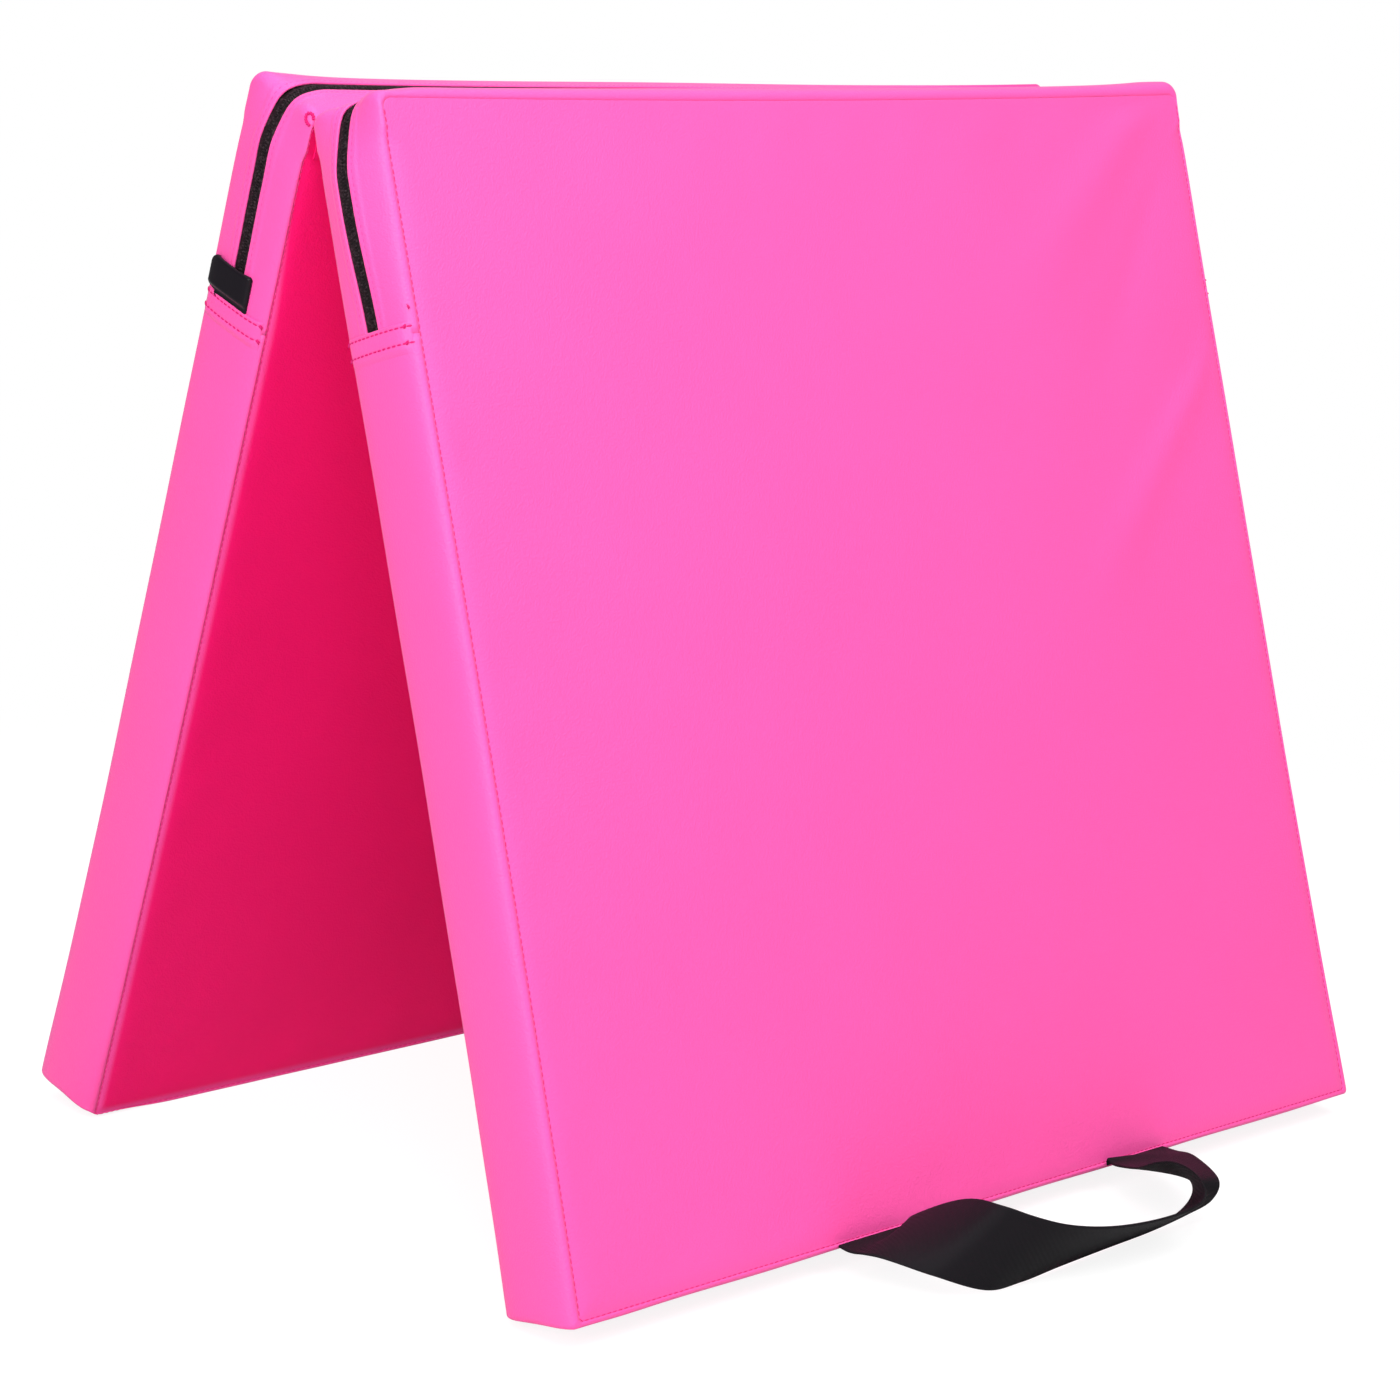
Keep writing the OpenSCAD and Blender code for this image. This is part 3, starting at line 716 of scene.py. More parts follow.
def face_sheet(s, panel, outer):
    """A face: rings drawn in from the seam loop to the middle, with a second skin under them."""
    stations = np.concatenate([zip_route(s, panel), box_route(s, panel)[1:-1]])
    loop = stations[:, :2]
    hub_at = np.array([0.0, -(s.panel_l + s.fold_seam) / 2])
    d = face_rings(s)
    t = 1 - d / (s.panel_w / 2)
    xy = hub_at + (loop - hub_at)[None] * t[:, None, None]
    lift = face_height(s, xy[..., 0], xy[..., 1], d[:, None])
    rise = meet(s, stations, np.array([s.panel_t if outer else 0.0]))[:, 0] * seam_edge(d[:, None])
    if outer:
        lift = lift + (rise + creases(xy[..., 0], xy[..., 1]) * smooth(0.002, 0.02, d[:, None]))
    else:
        lift = lift - rise
    rows, cols = xy.shape[:2]
    skins, tips = [], []
    for drop in (0.0, s.cover_t):
        z = s.panel_t + lift - drop if outer else drop - lift
        skins.append(np.concatenate([xy, z[..., None]], 2).reshape(-1, 3))
        tips.append([*hub_at, z[-1].mean()])
    points = np.concatenate([*skins, tips])
    n = rows * cols
    top = grid_quads(rows, cols, True)
    under = flip(grid_quads(rows, cols, True, n))
    j = np.arange(cols)
    k = (j + 1) % cols
    last = (rows - 1) * cols
    hub, hub_under = fan(last, cols, 2 * n), flip(fan(n + last, cols, 2 * n + 1))
    rim = np.stack([k, j, n + j, n + k], 1)
    quads = outward(points, np.concatenate([top, under, hub, hub_under, rim]))
    name = "outer" if outer else "inner"
    # Distance in from the seam, which tells the inner face where its painted shade begins. Near the fold the
    # painted shade comes closer to the seam
    depth = (d[:, None] + 0.005 * smooth(-0.12, -0.03, loop[:, 1])[None, :]).ravel()
    depth = np.concatenate([depth, depth, d[-1:], d[-1:]])
    uv = np.stack([depth, 0 * depth], 1)
    key = "cover" if outer else "inside"
    obj = make(f"{panel}_{name}_cover", stand(s, points, panel), quads, material(key), uv)
    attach(obj, f"{panel}_panel")
    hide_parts(f"{panel}_{name}_sheet")


def foam(s, panel):
    """The filling: the seam loop drawn in, its section a rounded block."""
    loop = np.concatenate([zip_route(s, panel), box_route(s, panel)[1:-1]])[::4]
    w = (1 - np.cos(np.linspace(0, math.pi, 15))) / 2
    low, high = 0.0013 + s.cover_t + s.seam_sink, s.panel_t - 0.0013 - s.cover_t - s.seam_sink
    z = low + w * (high - low)
    inset = 0.0035 + 0.004 * (1 - swell(w))
    ring = (loop[None, :, :2] - loop[None, :, 2:4] * inset[:, None, None]
            + loop[None, :, 6:8] * middle(w)[:, None, None])
    rows, cols = ring.shape[:2]
    points = np.concatenate([ring, np.broadcast_to(z[:, None, None], (rows, cols, 1))], 2).reshape(-1, 3)
    hub_at = [0.0, -(s.panel_l + s.fold_seam) / 2]
    points = np.concatenate([points, [[*hub_at, low], [*hub_at, high]]])
    n = rows * cols
    quads = outward(points, np.concatenate([
        grid_quads(rows, cols, True), flip(fan(0, cols, n)), fan(n - cols, cols, n + 1)]))
    obj = make(f"{panel}_foam", stand(s, points, panel), quads, material("foam"))
    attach(obj, f"{panel}_panel")
    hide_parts(f"{panel}_foam_block")


def strip_piece(s, panel, name, route, section, node):
    """A cover strip: a closed section carried along a route round the pad."""
    grid = place(s, route, section)
    points = stand(s, grid, panel)
    obj = make(f"{panel}_{name}", points, outward(grid, tube(grid)), material("cover"))
    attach(obj, f"{panel}_panel")
    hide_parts(f"{panel}_{node}")
    return obj


def inner_level(s, w):
    """Height of a strip's inner side at levels w, clear of both face sheets."""
    return s.cover_t + s.seam_sink + w * (s.panel_t - 2 * s.cover_t - 2 * s.seam_sink)


def boxing(s, panel):
    """Plain wall strip: from the inner seam over the swollen wall to the outer seam and back."""
    w = (1 - np.cos(np.linspace(0, math.pi, 41))) / 2
    share, mid, z = wall_point(s, w)
    out = np.stack([share, mid, 0 * w, z, floor_side(w)], 1)
    z_in = inner_level(s, w)
    back = np.stack([share, mid, -s.cover_t * share - 0.0001, z_in, floor_side(w)], 1)[::-1]
    route = box_route(s, panel)
    strip_piece(s, panel, "boxing", route, np.concatenate([out, back]), "boxing_strip")


def zip_strip_section(s):
    """Zip strip on the outer side: swollen wall, raised double edge with a sewn groove, round fold."""
    hi = 0.5 + s.zip_slot / 2 / s.panel_t
    w = 1 - (1 - hi - LIP_ROUND / s.panel_t) * (np.linspace(0, 1, 35) ** 1.7)
    share, mid, z = wall_point(s, w)
    e = z - hi * s.panel_t
    lip = 0.0006 * (1 - smooth(0.0042, 0.0066, e)) - 0.0004 * bell(e - LIP_STITCH, 0.0006)
    out = np.stack([share, mid, lip, z, outer_side(w)], 1)
    r = LIP_ROUND
    a = np.linspace(0, math.pi, 10)[1:]
    flat = np.ones(9)
    fold = np.stack([flat * share[-1], flat * mid[-1], lip[-1] - r + r * np.cos(a),
                     z[-1] - r * np.sin(a), flat * outer_side(w[-1])], 1)
    w_in = w[::-1]
    z_in = inner_level(s, w_in)
    drop = s.cover_t * swell(w_in) + 0.0001
    drop = np.where(z_in - hi * s.panel_t < 0.0062, np.maximum(drop, 2 * r - lip[-1]), drop)
    back = np.stack([swell(w_in), middle(w_in), -drop, z_in, outer_side(w_in)], 1)
    return np.concatenate([out, fold[:-1], back])


def press_at_fold(s, obj, panel):
    """Gives the piece its own copy of its mesh. The places of the fold axis and of the zip's end are worked
    out but not used, and nothing is flattened.
    """
    up = stand(s, [[0, 0, 0], [0, -s.zip_drop, 0]], panel)
    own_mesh(obj)


def zip_strips(s, panel):
    """Both zip strips; the inner one is the outer one mirrored in the middle of the wall."""
    route = zip_route(s, panel)
    section = zip_strip_section(s)
    mirrored = section * [1, 1, 1, -1, 0] + [0, 0, 0, s.panel_t, 0]
    for name, part in (("outer", section), ("inner", mirrored)):
        obj = strip_piece(s, panel, f"zip_edge_{name}", route, part, f"zip_strip_{name}")
        press_at_fold(s, obj, panel)


def route_at(route, length):
    """Stations of a route at lengths along it, by straight interpolation."""
    at = along(route)
    out = np.stack([np.interp(length, at, route[:, k]) for k in range(route.shape[1])], 1)
    out[:, 2:4] = unit(out[:, 2:4])
    return out


def zip_tapes(s, panel):
    """Both zip tapes, each with its row of coil: small rounded teeth across the middle."""
    route = zip_route(s, panel)
    share = float(swell(np.array(0.5 + s.tape_w / s.panel_t)))
    length = float(along(route)[-1])
    for side, name in ((1, "outer"), (-1, "inner")):
        u = np.array([0.0002, 0.0006, 0.002, 0.0035, 0.005, 0.0065, s.tape_w])
        h = np.array([0.0, 0.0001, 0.0001, 0.0, -0.0002, -0.0009, -0.0012])
        upper = np.stack([0 * u + share, 0 * u + 1, TAPE_LEVEL + h, s.panel_t / 2 + side * u, 0 * u], 1)
        under = upper - [0, 0, TAPE_T, 0, 0]
        grid = place(s, route, np.concatenate([upper, under[::-1]]))
        points, quads = grid.reshape(-1, 3), outward(grid, tube(grid))
        at = np.arange(0.002 + (TOOTH_PITCH / 2 if side > 0 else 0.0), length - 0.002, TOOTH_PITCH)
        st = route_at(route, at)
        spot = np.array([[share, 1.0, TAPE_LEVEL + 0.0002, s.panel_t / 2 + side * 0.0009, 0.0]])
        centre = place(s, st, spot)[:, 0]
        run = unit(np.gradient(centre, axis=0))
        across = np.array([0, 0, 1.0]) + run * 0.25 * side
        up = np.concatenate([st[:, 2:4], np.zeros((len(at), 1))], 1)
        tooth_points, tooth_quads = beads(centre, across, up, 0.0030, 0.0011, 0.0011)
        quads = np.concatenate([quads, tooth_quads + len(points)])
        points = np.concatenate([points, tooth_points])
        obj = make(f"{panel}_zip_{name}", stand(s, points, panel), quads, material("tape"))
        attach(obj, f"{panel}_panel")
        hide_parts(f"{panel}_zip_tape_{name}")
        press_at_fold(s, obj, panel)


def hem_ends(w):
    """Share of a hem's thickness at levels w: full between the face seams, little beside them."""
    return 0.15 + 0.85 * (smooth(0.03, 0.13, w) * smooth(0.03, 0.13, 1 - w))


def hem_bands(s, panel):
    """The plain strip's folded hem over the zip strips: round upper fold, two sewn grooves, fading below."""
    top = s.zip_drop - s.band_up
    edge = top + HEM_ROUND * (1 - np.cos(np.linspace(0.05, math.pi / 2, 7)))
    v = np.concatenate([edge, np.linspace(top + 0.0016, top + HEM_L, 27)])
    w = (1 - np.cos(np.linspace(0.12 * math.pi, 0.88 * math.pi, 37))) / 2
    share, _, z = wall_point(s, w)
    short = (top + HEM_ROUND - np.minimum(v, top + HEM_ROUND)) / HEM_ROUND
    rise = HEM_T * np.sqrt(np.clip(1 - short ** 2, 0.02, 1))
    rise = rise * (1 - smooth(top + 0.0115, top + 0.0165, v)) - 0.00035 * smooth(top + 0.013, top + 0.0168, v)
    rise = rise - 0.00045 * bell(v - top - HEM_ROWS[0], 0.0007) - 0.0004 * bell(v - top - HEM_ROWS[1], 0.0007)
    pucker = 0.00014 * np.sin(w * 78.0)[None, :] * bell(v - top - 0.0061, 0.005)[:, None]
    points, quads, count = [], [], 0
    for side in (1, -1):
        st = side_stations(s, side, v, panel)
        wall = side * st[:, None, 4] * share[None, :]
        outer = wall + (rise[:, None] + pucker) * hem_ends(w)[None, :]
        inner = wall - 0.0006 + 0 * rise[:, None]
        b = np.concatenate([outer, inner[:, ::-1]], 1)
        x = st[:, None, 0] + side * b
        y = np.broadcast_to(st[:, None, 1], b.shape)
        h = np.broadcast_to(np.concatenate([z, z[::-1]])[None, :], b.shape)
        grid = np.stack([x, y, h], 2)
        quads.append(outward(grid, tube(grid)) + count)
        points.append(grid.reshape(-1, 3))
        count += points[-1].shape[0]
    points = stand(s, np.concatenate(points), panel)
    obj = make(f"{panel}_hems", points, np.concatenate(quads), material("cover"))
    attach(obj, f"{panel}_panel")
    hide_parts(f"{panel}_hem_bands")


def tab(s, panel):
    """Black tab: an arched plate with round free corners and soft edges, low at its sewn edge."""
    top = s.zip_drop - s.band_up - TAB_GAP - s.tab_l
    rows, cols = 33, 45
    b = np.linspace(0, 1, rows)
    a = np.linspace(-1, 1, cols)
    v = top + b * (s.tab_l + TAB_TUCK)
    u0 = s.panel_t / 2 + s.tab_shift
    cut = lambda r: r * (1 - np.sqrt(1 - np.clip(1 - (v - top) / r, 0, 1) ** 2))
    right = u0 - s.tab_w / 2 + cut(TAB_ROUND_IN)
    left = u0 + s.tab_w / 2 - cut(TAB_ROUND_OUT)
    left = left - 0.006 * smooth(s.tab_l + 0.0004, s.tab_l + 0.0022, v - top)
    u = right[:, None] + (left - right)[:, None] * (a[None, :] + 1) / 2
    vv = np.broadcast_to(v[:, None], u.shape)
    e = np.minimum(np.minimum(u - right[:, None], left[:, None] - u), vv - top)
    round_edge = np.sqrt(np.clip(1 - (1 - np.clip(e / 0.0009, 0, 1)) ** 2, 0.0, 1))
    st = side_stations(s, 1, v, panel)
    share = 0.25 * swell(u / s.panel_t) + 0.75
    tuck = smooth(s.tab_l - 0.002, s.tab_l + 0.0012, v - top)[:, None]
    lift = TAB_ARCH * (1 - tuck) * (1 - np.abs(a)[None, :] ** 4)
    base = st[:, None, 4] * share + 0.0003 + lift
    outer = base + TAB_EDGE + TAB_FULL * round_edge * (1 - 0.8 * tuck)
    points = np.concatenate([
        np.stack([st[:, None, 0] + off, -vv, u], 2).reshape(-1, 3) for off in (outer, base)])
    n = rows * cols
    upper = grid_quads(rows, cols)
    edge = np.concatenate([
        np.arange(cols), np.arange(1, rows) * cols + cols - 1,
        (rows - 1) * cols + np.arange(cols - 2, -1, -1), np.arange(rows - 2, 0, -1) * cols,
    ])
    nxt = np.roll(edge, -1)
    quads = np.concatenate([upper, flip(upper + n), np.stack([nxt, edge, edge + n, nxt + n], 1)])
    quads = outward(points, quads)
    obj = make(f"{panel}_tab_look", stand(s, points, panel), quads, material("tab"))
    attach(obj, f"{panel}_tab")
    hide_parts(f"{panel}_zip_tab")


# Rows of the strap, in millimetres: one edge's x, distance out from the seam and height, then the way across
HANDLE_ROUTE = (
    (-124, 0.75, 16.83, 1, 0, 0),
    (-124, 10, 16.6, 1, 0.02, 0.03),
    (-120.1, 27, 18.2, 0.91, 0.39, 0.15),
    (-106.4, 51.5, 13, 0.56, -0.29, 0.78),
    (-79.3, 62.6, 2.7, 0.16, -0.33, 0.93),
    (-53.5, 62.8, 1.1, 0.02, -0.57, 0.82),
    (-23.3, 61.1, 1.8, 0.04, -0.74, 0.68),
    (15.6, 57.8, 1.4, 0.09, -0.8, 0.59),
    (54.9, 55.7, 1.4, -0.07, -0.79, 0.61),
    (79.4, 59.7, 6.1, -0.46, -0.55, 0.7),
    (93.4, 66.4, 13.4, -0.77, -0.05, 0.64),
    (101.7, 64, 22.9, -0.86, 0.47, 0.19),
    (122.1, 30.8, 21.9, -0.9, 0.44, -0.04),
    (129.5, 11.7, 17.8, -0.98, 0.21, 0.05),
    (131, 0.75, 16.83, -1, 0, 0),
)


def smooth_rows(rows, steps):
    """Catmull-Rom curve through rows, its ends run on in a straight line."""
    p = np.asarray(rows, float)
    p = np.concatenate([[2 * p[0] - p[1]], p, [2 * p[-1] - p[-2]]])
    t = np.arange(steps)[None, :, None] / steps
    p0, p1, p2, p3 = (p[k:len(p) - 3 + k][:, None] for k in range(4))
    c = 0.5 * (2 * p1 + (p2 - p0) * t + (2 * p0 - 5 * p1 + 4 * p2 - p3) * t ** 2
               + (3 * p1 - p0 - 3 * p2 + p3) * t ** 3)
    return np.concatenate([c.reshape(-1, p.shape[1]), p[-2:-1]])


def handle(s, panel):
    """Webbing handle: a flat section with round edges carried along the strap's route."""
    rows = smooth_rows(HANDLE_ROUTE, 14)
    seam_y = -s.panel_l * math.sin(s.lean) - (s.panel_t + s.fold_gap) * math.cos(s.lean)
    edge = np.stack([rows[:, 0] / 1000, seam_y - rows[:, 1] / 1000, rows[:, 2] / 1000], 1)
    way = unit(rows[:, 3:])
    mid = edge + way * s.webbing_w / 2
    face = unit(np.cross(np.gradient(mid, axis=0), way))
    q = np.concatenate([[0.0, 0.004, 0.012], np.linspace(0.03, 0.97, 27), [0.988, 0.996, 1.0]])
    rim = np.minimum(q, 1 - q)
    thick = s.webbing_t / 2 * np.sqrt(np.clip(1 - (1 - np.clip(rim / 0.016, 0, 1)) ** 2, 0.08, 1))
    thick = thick * (1 - 0.12 * bell(rim - 0.05, 0.02))
    sides = []
    for sign, order in ((-1, slice(None)), (1, slice(None, None, -1))):
        flat = edge[:, None] + way[:, None] * (q[order] * s.webbing_w)[None, :, None]
        sides.append(flat + sign * face[:, None] * thick[order][None, :, None])
    grid = np.concatenate(sides, 1)
    uv_u = run_length(mid)
    uv_v = np.concatenate([q, q[::-1]]) * s.webbing_w
    uv = np.stack(np.broadcast_arrays(uv_u[:, None], uv_v[None, :]), 2)
    points = grid.reshape(-1, 3).copy()
    points[:, 2] = np.maximum(points[:, 2], 0.0)
    if panel == "back":
        points[:, :2] *= -1
    obj = make(f"{panel}_strap", points, outward(grid, tube(grid)), material("webbing"), uv)
    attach(obj, f"{panel}_handle")
    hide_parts(f"{panel}_handle")


def hinge(s):
    """Hinge strip: one leaf down each inner face, bent over the fold axis."""
    t = np.concatenate([[0.0, 0.008, 0.03], np.linspace(0.125, 1, 8)])
    lean, drop, gap = s.lean, HINGE_DROP, HINGE_GAP
    axis = axis_height(s)
    bend = np.linspace(-math.pi / 2 + lean, math.pi / 2 - lean, 9)
    arm = np.stack([-np.sin(lean) * drop * (1 - t) - gap * np.cos(lean),
                    -np.cos(lean) * drop * (1 - t) + gap * np.sin(lean)], 1)
    over = np.stack([gap * np.sin(bend), gap * np.cos(bend)], 1)
    line = np.concatenate([arm[:-1], over, (arm * [-1, 1])[::-1][1:]])
    run = np.gradient(line, axis=0)
    normal = unit(np.stack([-run[:, 1], run[:, 0]], 1)) * HINGE_HALF
    ring = np.concatenate([line + normal, (line - normal)[::-1]])
    half = s.panel_w / 2 - HINGE_END
    end = half - np.array([0.0, 0.0002, 0.0008])
    x = np.concatenate([-end, spread(0.004 - half, half - 0.004, 0.008), end[::-1]])
    grid = np.stack(np.broadcast_arrays(x[:, None], ring[None, :, 0], ring[None, :, 1] + axis), 2)
    # Far past the edge strip: the hinge strip takes the inner faces' painted shade all over
    uv = np.tile([0.02, 0.0], (grid.shape[0] * grid.shape[1], 1))
    obj = make("hinge_strip", grid, outward(grid, tube(grid)), material("inside"), uv)
    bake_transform(obj)
    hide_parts("front_hinge_leaf", "back_hinge_leaf")


def stitch_line(points, normals, pitch, length, width):
    """Rounded stitches laid along a line of points."""
    at = run_length(points)
    t = np.arange(pitch / 2, at[-1], pitch)
    sample = lambda rows, where: np.stack([np.interp(where, at, rows[:, k]) for k in range(3)], 1)
    ahead, behind = np.minimum(t + pitch / 3, at[-1]), np.maximum(t - pitch / 3, 0)
    run = sample(points, ahead) - sample(points, behind)
    return beads(sample(points, t), run, sample(normals, t), length, width, width * 0.9)


def wall_path(s, route, w, rise):
    """A line on the wall through one level w at each station, lifted off it, and its outward direction."""
    share, mid, z = wall_point(s, w)
    x, y = carry(route, rise, share, mid, outer_side(w))
    out = np.concatenate([route[:, 2:4], np.zeros((len(route), 1))], 1)
    return np.stack([x, y, z + np.diagonal(meet(s, route, z))], 1), out


def join(name, groups, s, panel, key):
    """One piece of thread from several rows of stitches."""
    count = np.cumsum([0] + [len(p) for p, _ in groups])
    quads = np.concatenate([q + n for (_, q), n in zip(groups, count)])
    points = stand(s, np.concatenate([p for p, _ in groups]), panel)
    obj = make(f"{panel}_{name}", points, quads, material(key))
    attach(obj, f"{panel}_panel")
    return obj


def bar_tack(at, across, run, up):
    """A short dense row of stitches laid side by side along run, each one across it."""
    count = 5
    step = np.linspace(-0.5, 0.5, count)[:, None] * np.asarray(run)[None, :]
    tile = lambda d: np.tile(np.asarray(d, float), (count, 1))
    length = float(np.linalg.norm(across))
    return beads(np.asarray(at)[None, :] + step, tile(across), tile(up), length, TACK_W, TACK_W)


def seam_stitches(s, panel):
    """Stitches in both face seams; the outer face has none along the fold."""
    route, lower = zip_route(s, panel), box_route(s, panel)[1:]
    wall = route[:, 1] < 1e-6 - s.fold_seam - s.corner_r
    right, left = route[wall & (route[:, 0] > 0)], route[wall & (route[:, 0] < 0)][1:]
    seams = (
        ("outer_stitches", "seam", np.concatenate([right, lower, left]), 1.0, 0.00055),
        ("inner_stitches", "thread", np.concatenate([route, lower]), 0.0, 0.0006),
    )
    for name, key, way, w, width in seams:
        level = s.panel_t - s.seam_sink + 0.00005 if w else s.seam_sink - 0.00005
        z = level + meet(s, way, np.array([s.panel_t * w]))[:, 0]
        line = np.concatenate([way[:, :2] - way[:, 2:4] * 0.0002, z[:, None]], 1)
        up = np.tile([0, 0, 1.0 if w else -1.0], (len(way), 1))
        join(name, [stitch_line(line, up, s.stitch, s.stitch * 0.78, width)], s, panel, key)


def hem_stitches(s, panel):
    """Two rows across each hem with bar tacks at their ends, and the tacks beside the hem and at the fold."""
    route = zip_route(s, panel)
    top = s.zip_drop - s.band_up
    w = np.linspace(0.02, 0.98, 64)
    rows = []
    for side in (1, -1):
        out, flush = (side, 0, 0), (panel, side) == ("front", 1)
        for v, rise in zip(HEM_ROWS, (0.00095, 0.0010)):
            st = side_stations(s, side, np.array([top + v]), panel)
            line, up = wall_path(s, np.repeat(st, len(w), 0), w, rise * hem_ends(w))
            rows.append(stitch_line(line, up, *HEM_STITCH))
            for k in (2, -5):
                at = line[k] + [side * (-0.0004 if flush else 0.0002), 0, 0]
                rows.append(bar_tack(at, *END_TACK, out))
        if not flush:
            st = side_stations(s, side, np.array([top - 0.0075]), panel)
            at, _ = wall_path(s, st, np.array([0.965]), -0.0001)
            rows.append(bar_tack(at[0], *SIDE_TACK, out))
        if panel == "back":
            a = np.linspace(0.6, 2 * math.pi - 0.6, 24)
            at = s.zip_drop - s.fold_seam - s.corner_r + 0.0022 + 0.0026 * np.sin(a)
            near = route_at(route, along(route)[-1] - at if side > 0 else at)
            line, up = wall_path(s, near, 0.05 - 0.036 * np.cos(a), 0.0004)
            rows.append(stitch_line(line, up, *FOLD_STITCH))
    join("hem_stitches", rows, s, panel, "hem_thread")


def zip_stitches(s, panel):
    """A row of stitches along each folded edge of the zip strips."""
    route = zip_route(s, panel)
    level = 0.5 + (s.zip_slot / 2 + LIP_STITCH) / s.panel_t
    edges = [stitch_line(*wall_path(s, route, np.full(len(route), w), 0.00025), *ZIP_STITCH)
             for w in (level, 1 - level)]
    press_at_fold(s, join("zip_stitches", edges, s, panel, "thread"), panel)


class MAT_OT_covers(bpy.types.Operator):
    """Builds the foam, the face sheets and the wall strips of both panels"""

    bl_idname = "mat.covers"
    bl_label = "Covers and filling"

    def execute(self, context):
        s = context.scene.mat_sizes
        for panel in PANELS:
            foam(s, panel)
            boxing(s, panel)
            zip_strips(s, panel)
            face_sheet(s, panel, True)
            face_sheet(s, panel, False)
        return {"FINISHED"}


class MAT_OT_zips(bpy.types.Operator):
    """Builds the zips and gives the sliders their finish"""

    bl_idname = "mat.zips"
    bl_label = "Zips"

    def execute(self, context):
        for panel in PANELS:
            zip_tapes(context.scene.mat_sizes, panel)
            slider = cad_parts[f"{panel}_zip_slider"]
            slider.data.materials.clear()
            slider.data.materials.append(material("slider"))
        return {"FINISHED"}


class MAT_OT_hems(bpy.types.Operator):
    """Builds the hem bands and the black tabs"""

    bl_idname = "mat.hems"
    bl_label = "Hems and tabs"

    def execute(self, context):
        for panel in PANELS:
            hem_bands(context.scene.mat_sizes, panel)
            tab(context.scene.mat_sizes, panel)
        return {"FINISHED"}


class MAT_OT_handles(bpy.types.Operator):
    """Builds the webbing handles"""

    bl_idname = "mat.handles"
    bl_label = "Handles"

    def execute(self, context):
        for panel in PANELS:
            handle(context.scene.mat_sizes, panel)
        return {"FINISHED"}


class MAT_OT_hinge(bpy.types.Operator):
    """Builds the hinge strip at the fold"""

    bl_idname = "mat.hinge"
    bl_label = "Hinge strip"

    def execute(self, context):
        hinge(context.scene.mat_sizes)
        return {"FINISHED"}


class MAT_OT_stitches(bpy.types.Operator):
    """Builds the rows of stitches"""

    bl_idname = "mat.stitches"
    bl_label = "Stitches"

    def execute(self, context):
        for panel in PANELS:
            seam_stitches(context.scene.mat_sizes, panel)
            hem_stitches(context.scene.mat_sizes, panel)
            zip_stitches(context.scene.mat_sizes, panel)
        return {"FINISHED"}


def area_light(name, place_at, aim, size, power):
    """A square soft light aimed at a point."""
    data = bpy.data.lights.new(name, "AREA")
    data.shape = "SQUARE"
    data.size = size
    data.energy = power
    obj = bpy.data.objects.new(name, data)
    obj.location = place_at
    obj.rotation_euler = (Vector(aim) - Vector(place_at)).to_track_quat("-Z", "Y").to_euler()
    bpy.context.scene.collection.objects.link(obj)


def floor_material():
    """White floor: it keeps the mat's shadow near the mat and is plain white to the camera further off."""
    mat = bpy.data.materials.new("stage_floor")
    mat.use_nodes = True
    mat.node_tree.nodes.clear()
    node = node_maker(mat.node_tree)
    plain = node("BsdfDiffuse", {"Color": (0.62, 0.62, 0.62, 1)})
    seen = node("BsdfDiffuse", {"Color": (0.22, 0.22, 0.22, 1)})
    glow = node("Emission", {"Strength": 0.87})
    white = node("Emission", {"Strength": 1.0})
    both = node("AddShader", {0: seen.outputs[0], 1: glow.outputs[0]})
    away = node("VectorMath", {0: node("TexCoord").outputs["Object"]}, operation="LENGTH")
    ramp = node("MapRange", {"Value": away.outputs["Value"], "From Min": SHADOW_NEAR, "From Max": SHADOW_FAR},
                interpolation_type="SMOOTHSTEP")
    far = node("MixShader", {0: ramp.outputs["Result"], 1: both.outputs[0], 2: white.outputs[0]})
    camera_ray = node("LightPath").outputs["Is Camera Ray"]
    pick = node("MixShader", {0: camera_ray, 1: plain.outputs[0], 2: far.outputs[0]})
    node("OutputMaterial", {"Surface": pick.outputs[0]})
    return mat


def studio_world():
    """White to the camera, and a dim even light to everything else."""
    world = bpy.data.worlds.new("studio")
    world.use_nodes = True
    tree = world.node_tree
    node, back = node_maker(tree), tree.nodes["Background"]
    fill(back, {"Color": (1, 1, 1, 1), "Strength": 0.25})
    white = node("Background", {"Color": (1, 1, 1, 1), "Strength": 1.0})
    camera_ray = node("LightPath").outputs["Is Camera Ray"]
    pick = node("MixShader", {0: camera_ray, 1: back.outputs[0], 2: white.outputs[0]})
    fill(tree.nodes["World Output"], {"Surface": pick.outputs[0]})
    return world


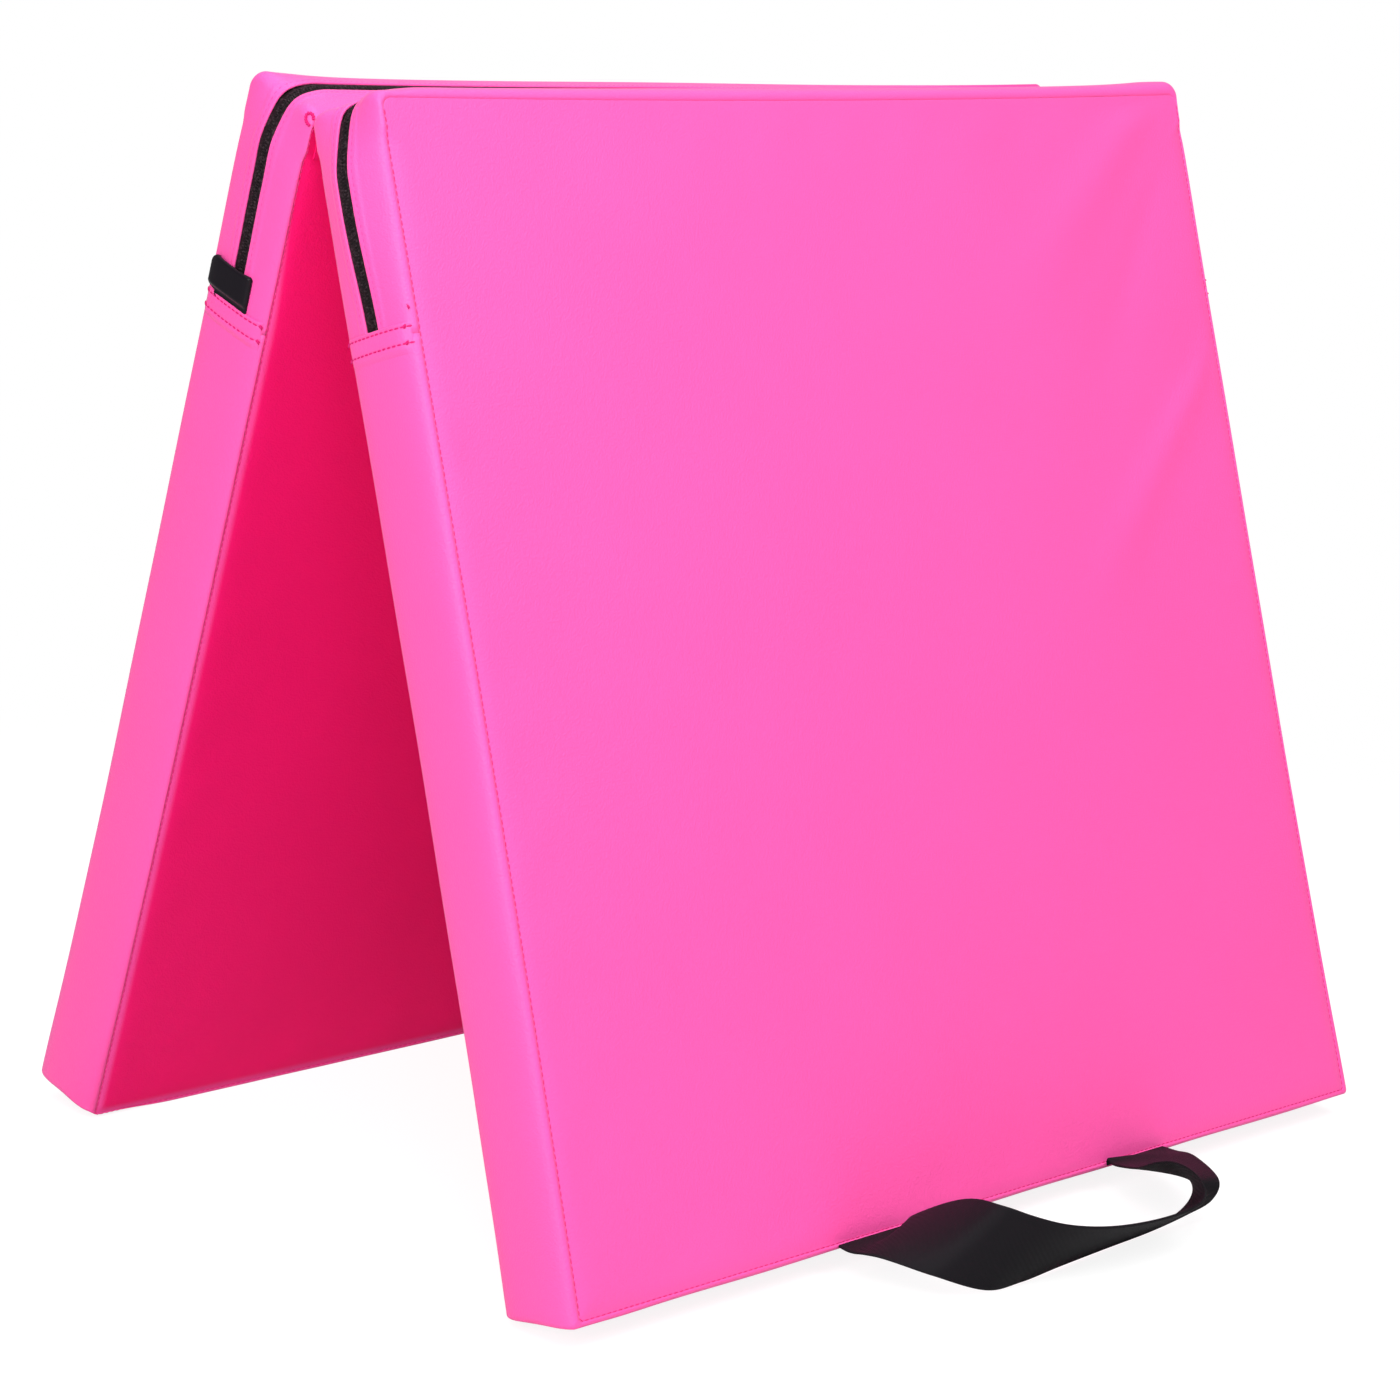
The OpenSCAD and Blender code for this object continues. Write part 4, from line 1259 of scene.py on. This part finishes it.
def photo_camera():
    """A camera at the photograph's place, turned by its yaw, pitch and roll."""
    data = bpy.data.cameras.new("photo")
    data.lens = CAMERA_LENS
    data.sensor_width = 36.0
    data.clip_end = 200.0
    yaw, pitch, roll = (math.radians(angle) for angle in (CAMERA_YAW, CAMERA_PITCH, CAMERA_ROLL))
    ahead = Vector((math.sin(yaw) * math.cos(pitch), math.cos(yaw) * math.cos(pitch), -math.sin(pitch)))
    right = Vector((math.cos(yaw), -math.sin(yaw), 0))
    down = ahead.cross(right)
    turned = math.cos(roll) * right + math.sin(roll) * down
    low = -math.sin(roll) * right + math.cos(roll) * down
    turn = Matrix((turned, -low, -ahead)).transposed().to_4x4()
    camera = bpy.data.objects.new("photo", data)
    camera.matrix_world = Matrix.Translation(CAMERA_AT) @ turn
    bpy.context.scene.collection.objects.link(camera)
    return camera


class MAT_OT_stage(bpy.types.Operator):
    """Sets the floor, the studio light and the camera"""

    bl_idname = "mat.stage"
    bl_label = "Stage"

    def execute(self, context):
        scene, r = context.scene, FLOOR_REACH
        corners = [(-r, -r, 0), (r, -r, 0), (r, r, 0), (-r, r, 0)]
        make("floor", corners, [[0, 1, 2, 3]], floor_material(), smooth_faces=False)
        scene.world = studio_world()
        for light in LIGHTS:
            area_light(*light)
        scene.camera = photo_camera()
        scene.view_settings.view_transform = "Standard"
        return {"FINISHED"}


class MAT_PT_panel(bpy.types.Panel):
    """Buttons that build the mat piece by piece"""

    bl_idname = "MAT_PT_panel"
    bl_label = "Folding gym mat"
    bl_space_type = "VIEW_3D"
    bl_region_type = "UI"
    bl_category = "Mat"

    def draw(self, context):
        for operator in OPERATORS:
            self.layout.operator(operator.bl_idname)


OPERATORS = (
    MAT_OT_covers, MAT_OT_zips, MAT_OT_hems, MAT_OT_handles, MAT_OT_hinge, MAT_OT_stitches, MAT_OT_stage)
CLASSES = (MatSizes, MatColours, *OPERATORS, MAT_PT_panel)


def register():
    """Registers the classes and gives the scene its sizes and colours."""
    for cls in CLASSES:
        bpy.utils.register_class(cls)
    bpy.types.Scene.mat_sizes = bpy.props.PointerProperty(type=MatSizes)
    bpy.types.Scene.mat_colours = bpy.props.PointerProperty(type=MatColours)


def unregister():
    """Takes back what register did."""
    del bpy.types.Scene.mat_colours
    del bpy.types.Scene.mat_sizes
    for cls in reversed(CLASSES):
        bpy.utils.unregister_class(cls)


def main():
    """Builds every piece and the stage."""
    register()
    bpy.ops.mat.covers()
    bpy.ops.mat.zips()
    bpy.ops.mat.hems()
    bpy.ops.mat.handles()
    bpy.ops.mat.hinge()
    bpy.ops.mat.stitches()
    bpy.ops.mat.stage()


if __name__ == "__main__":
    main()
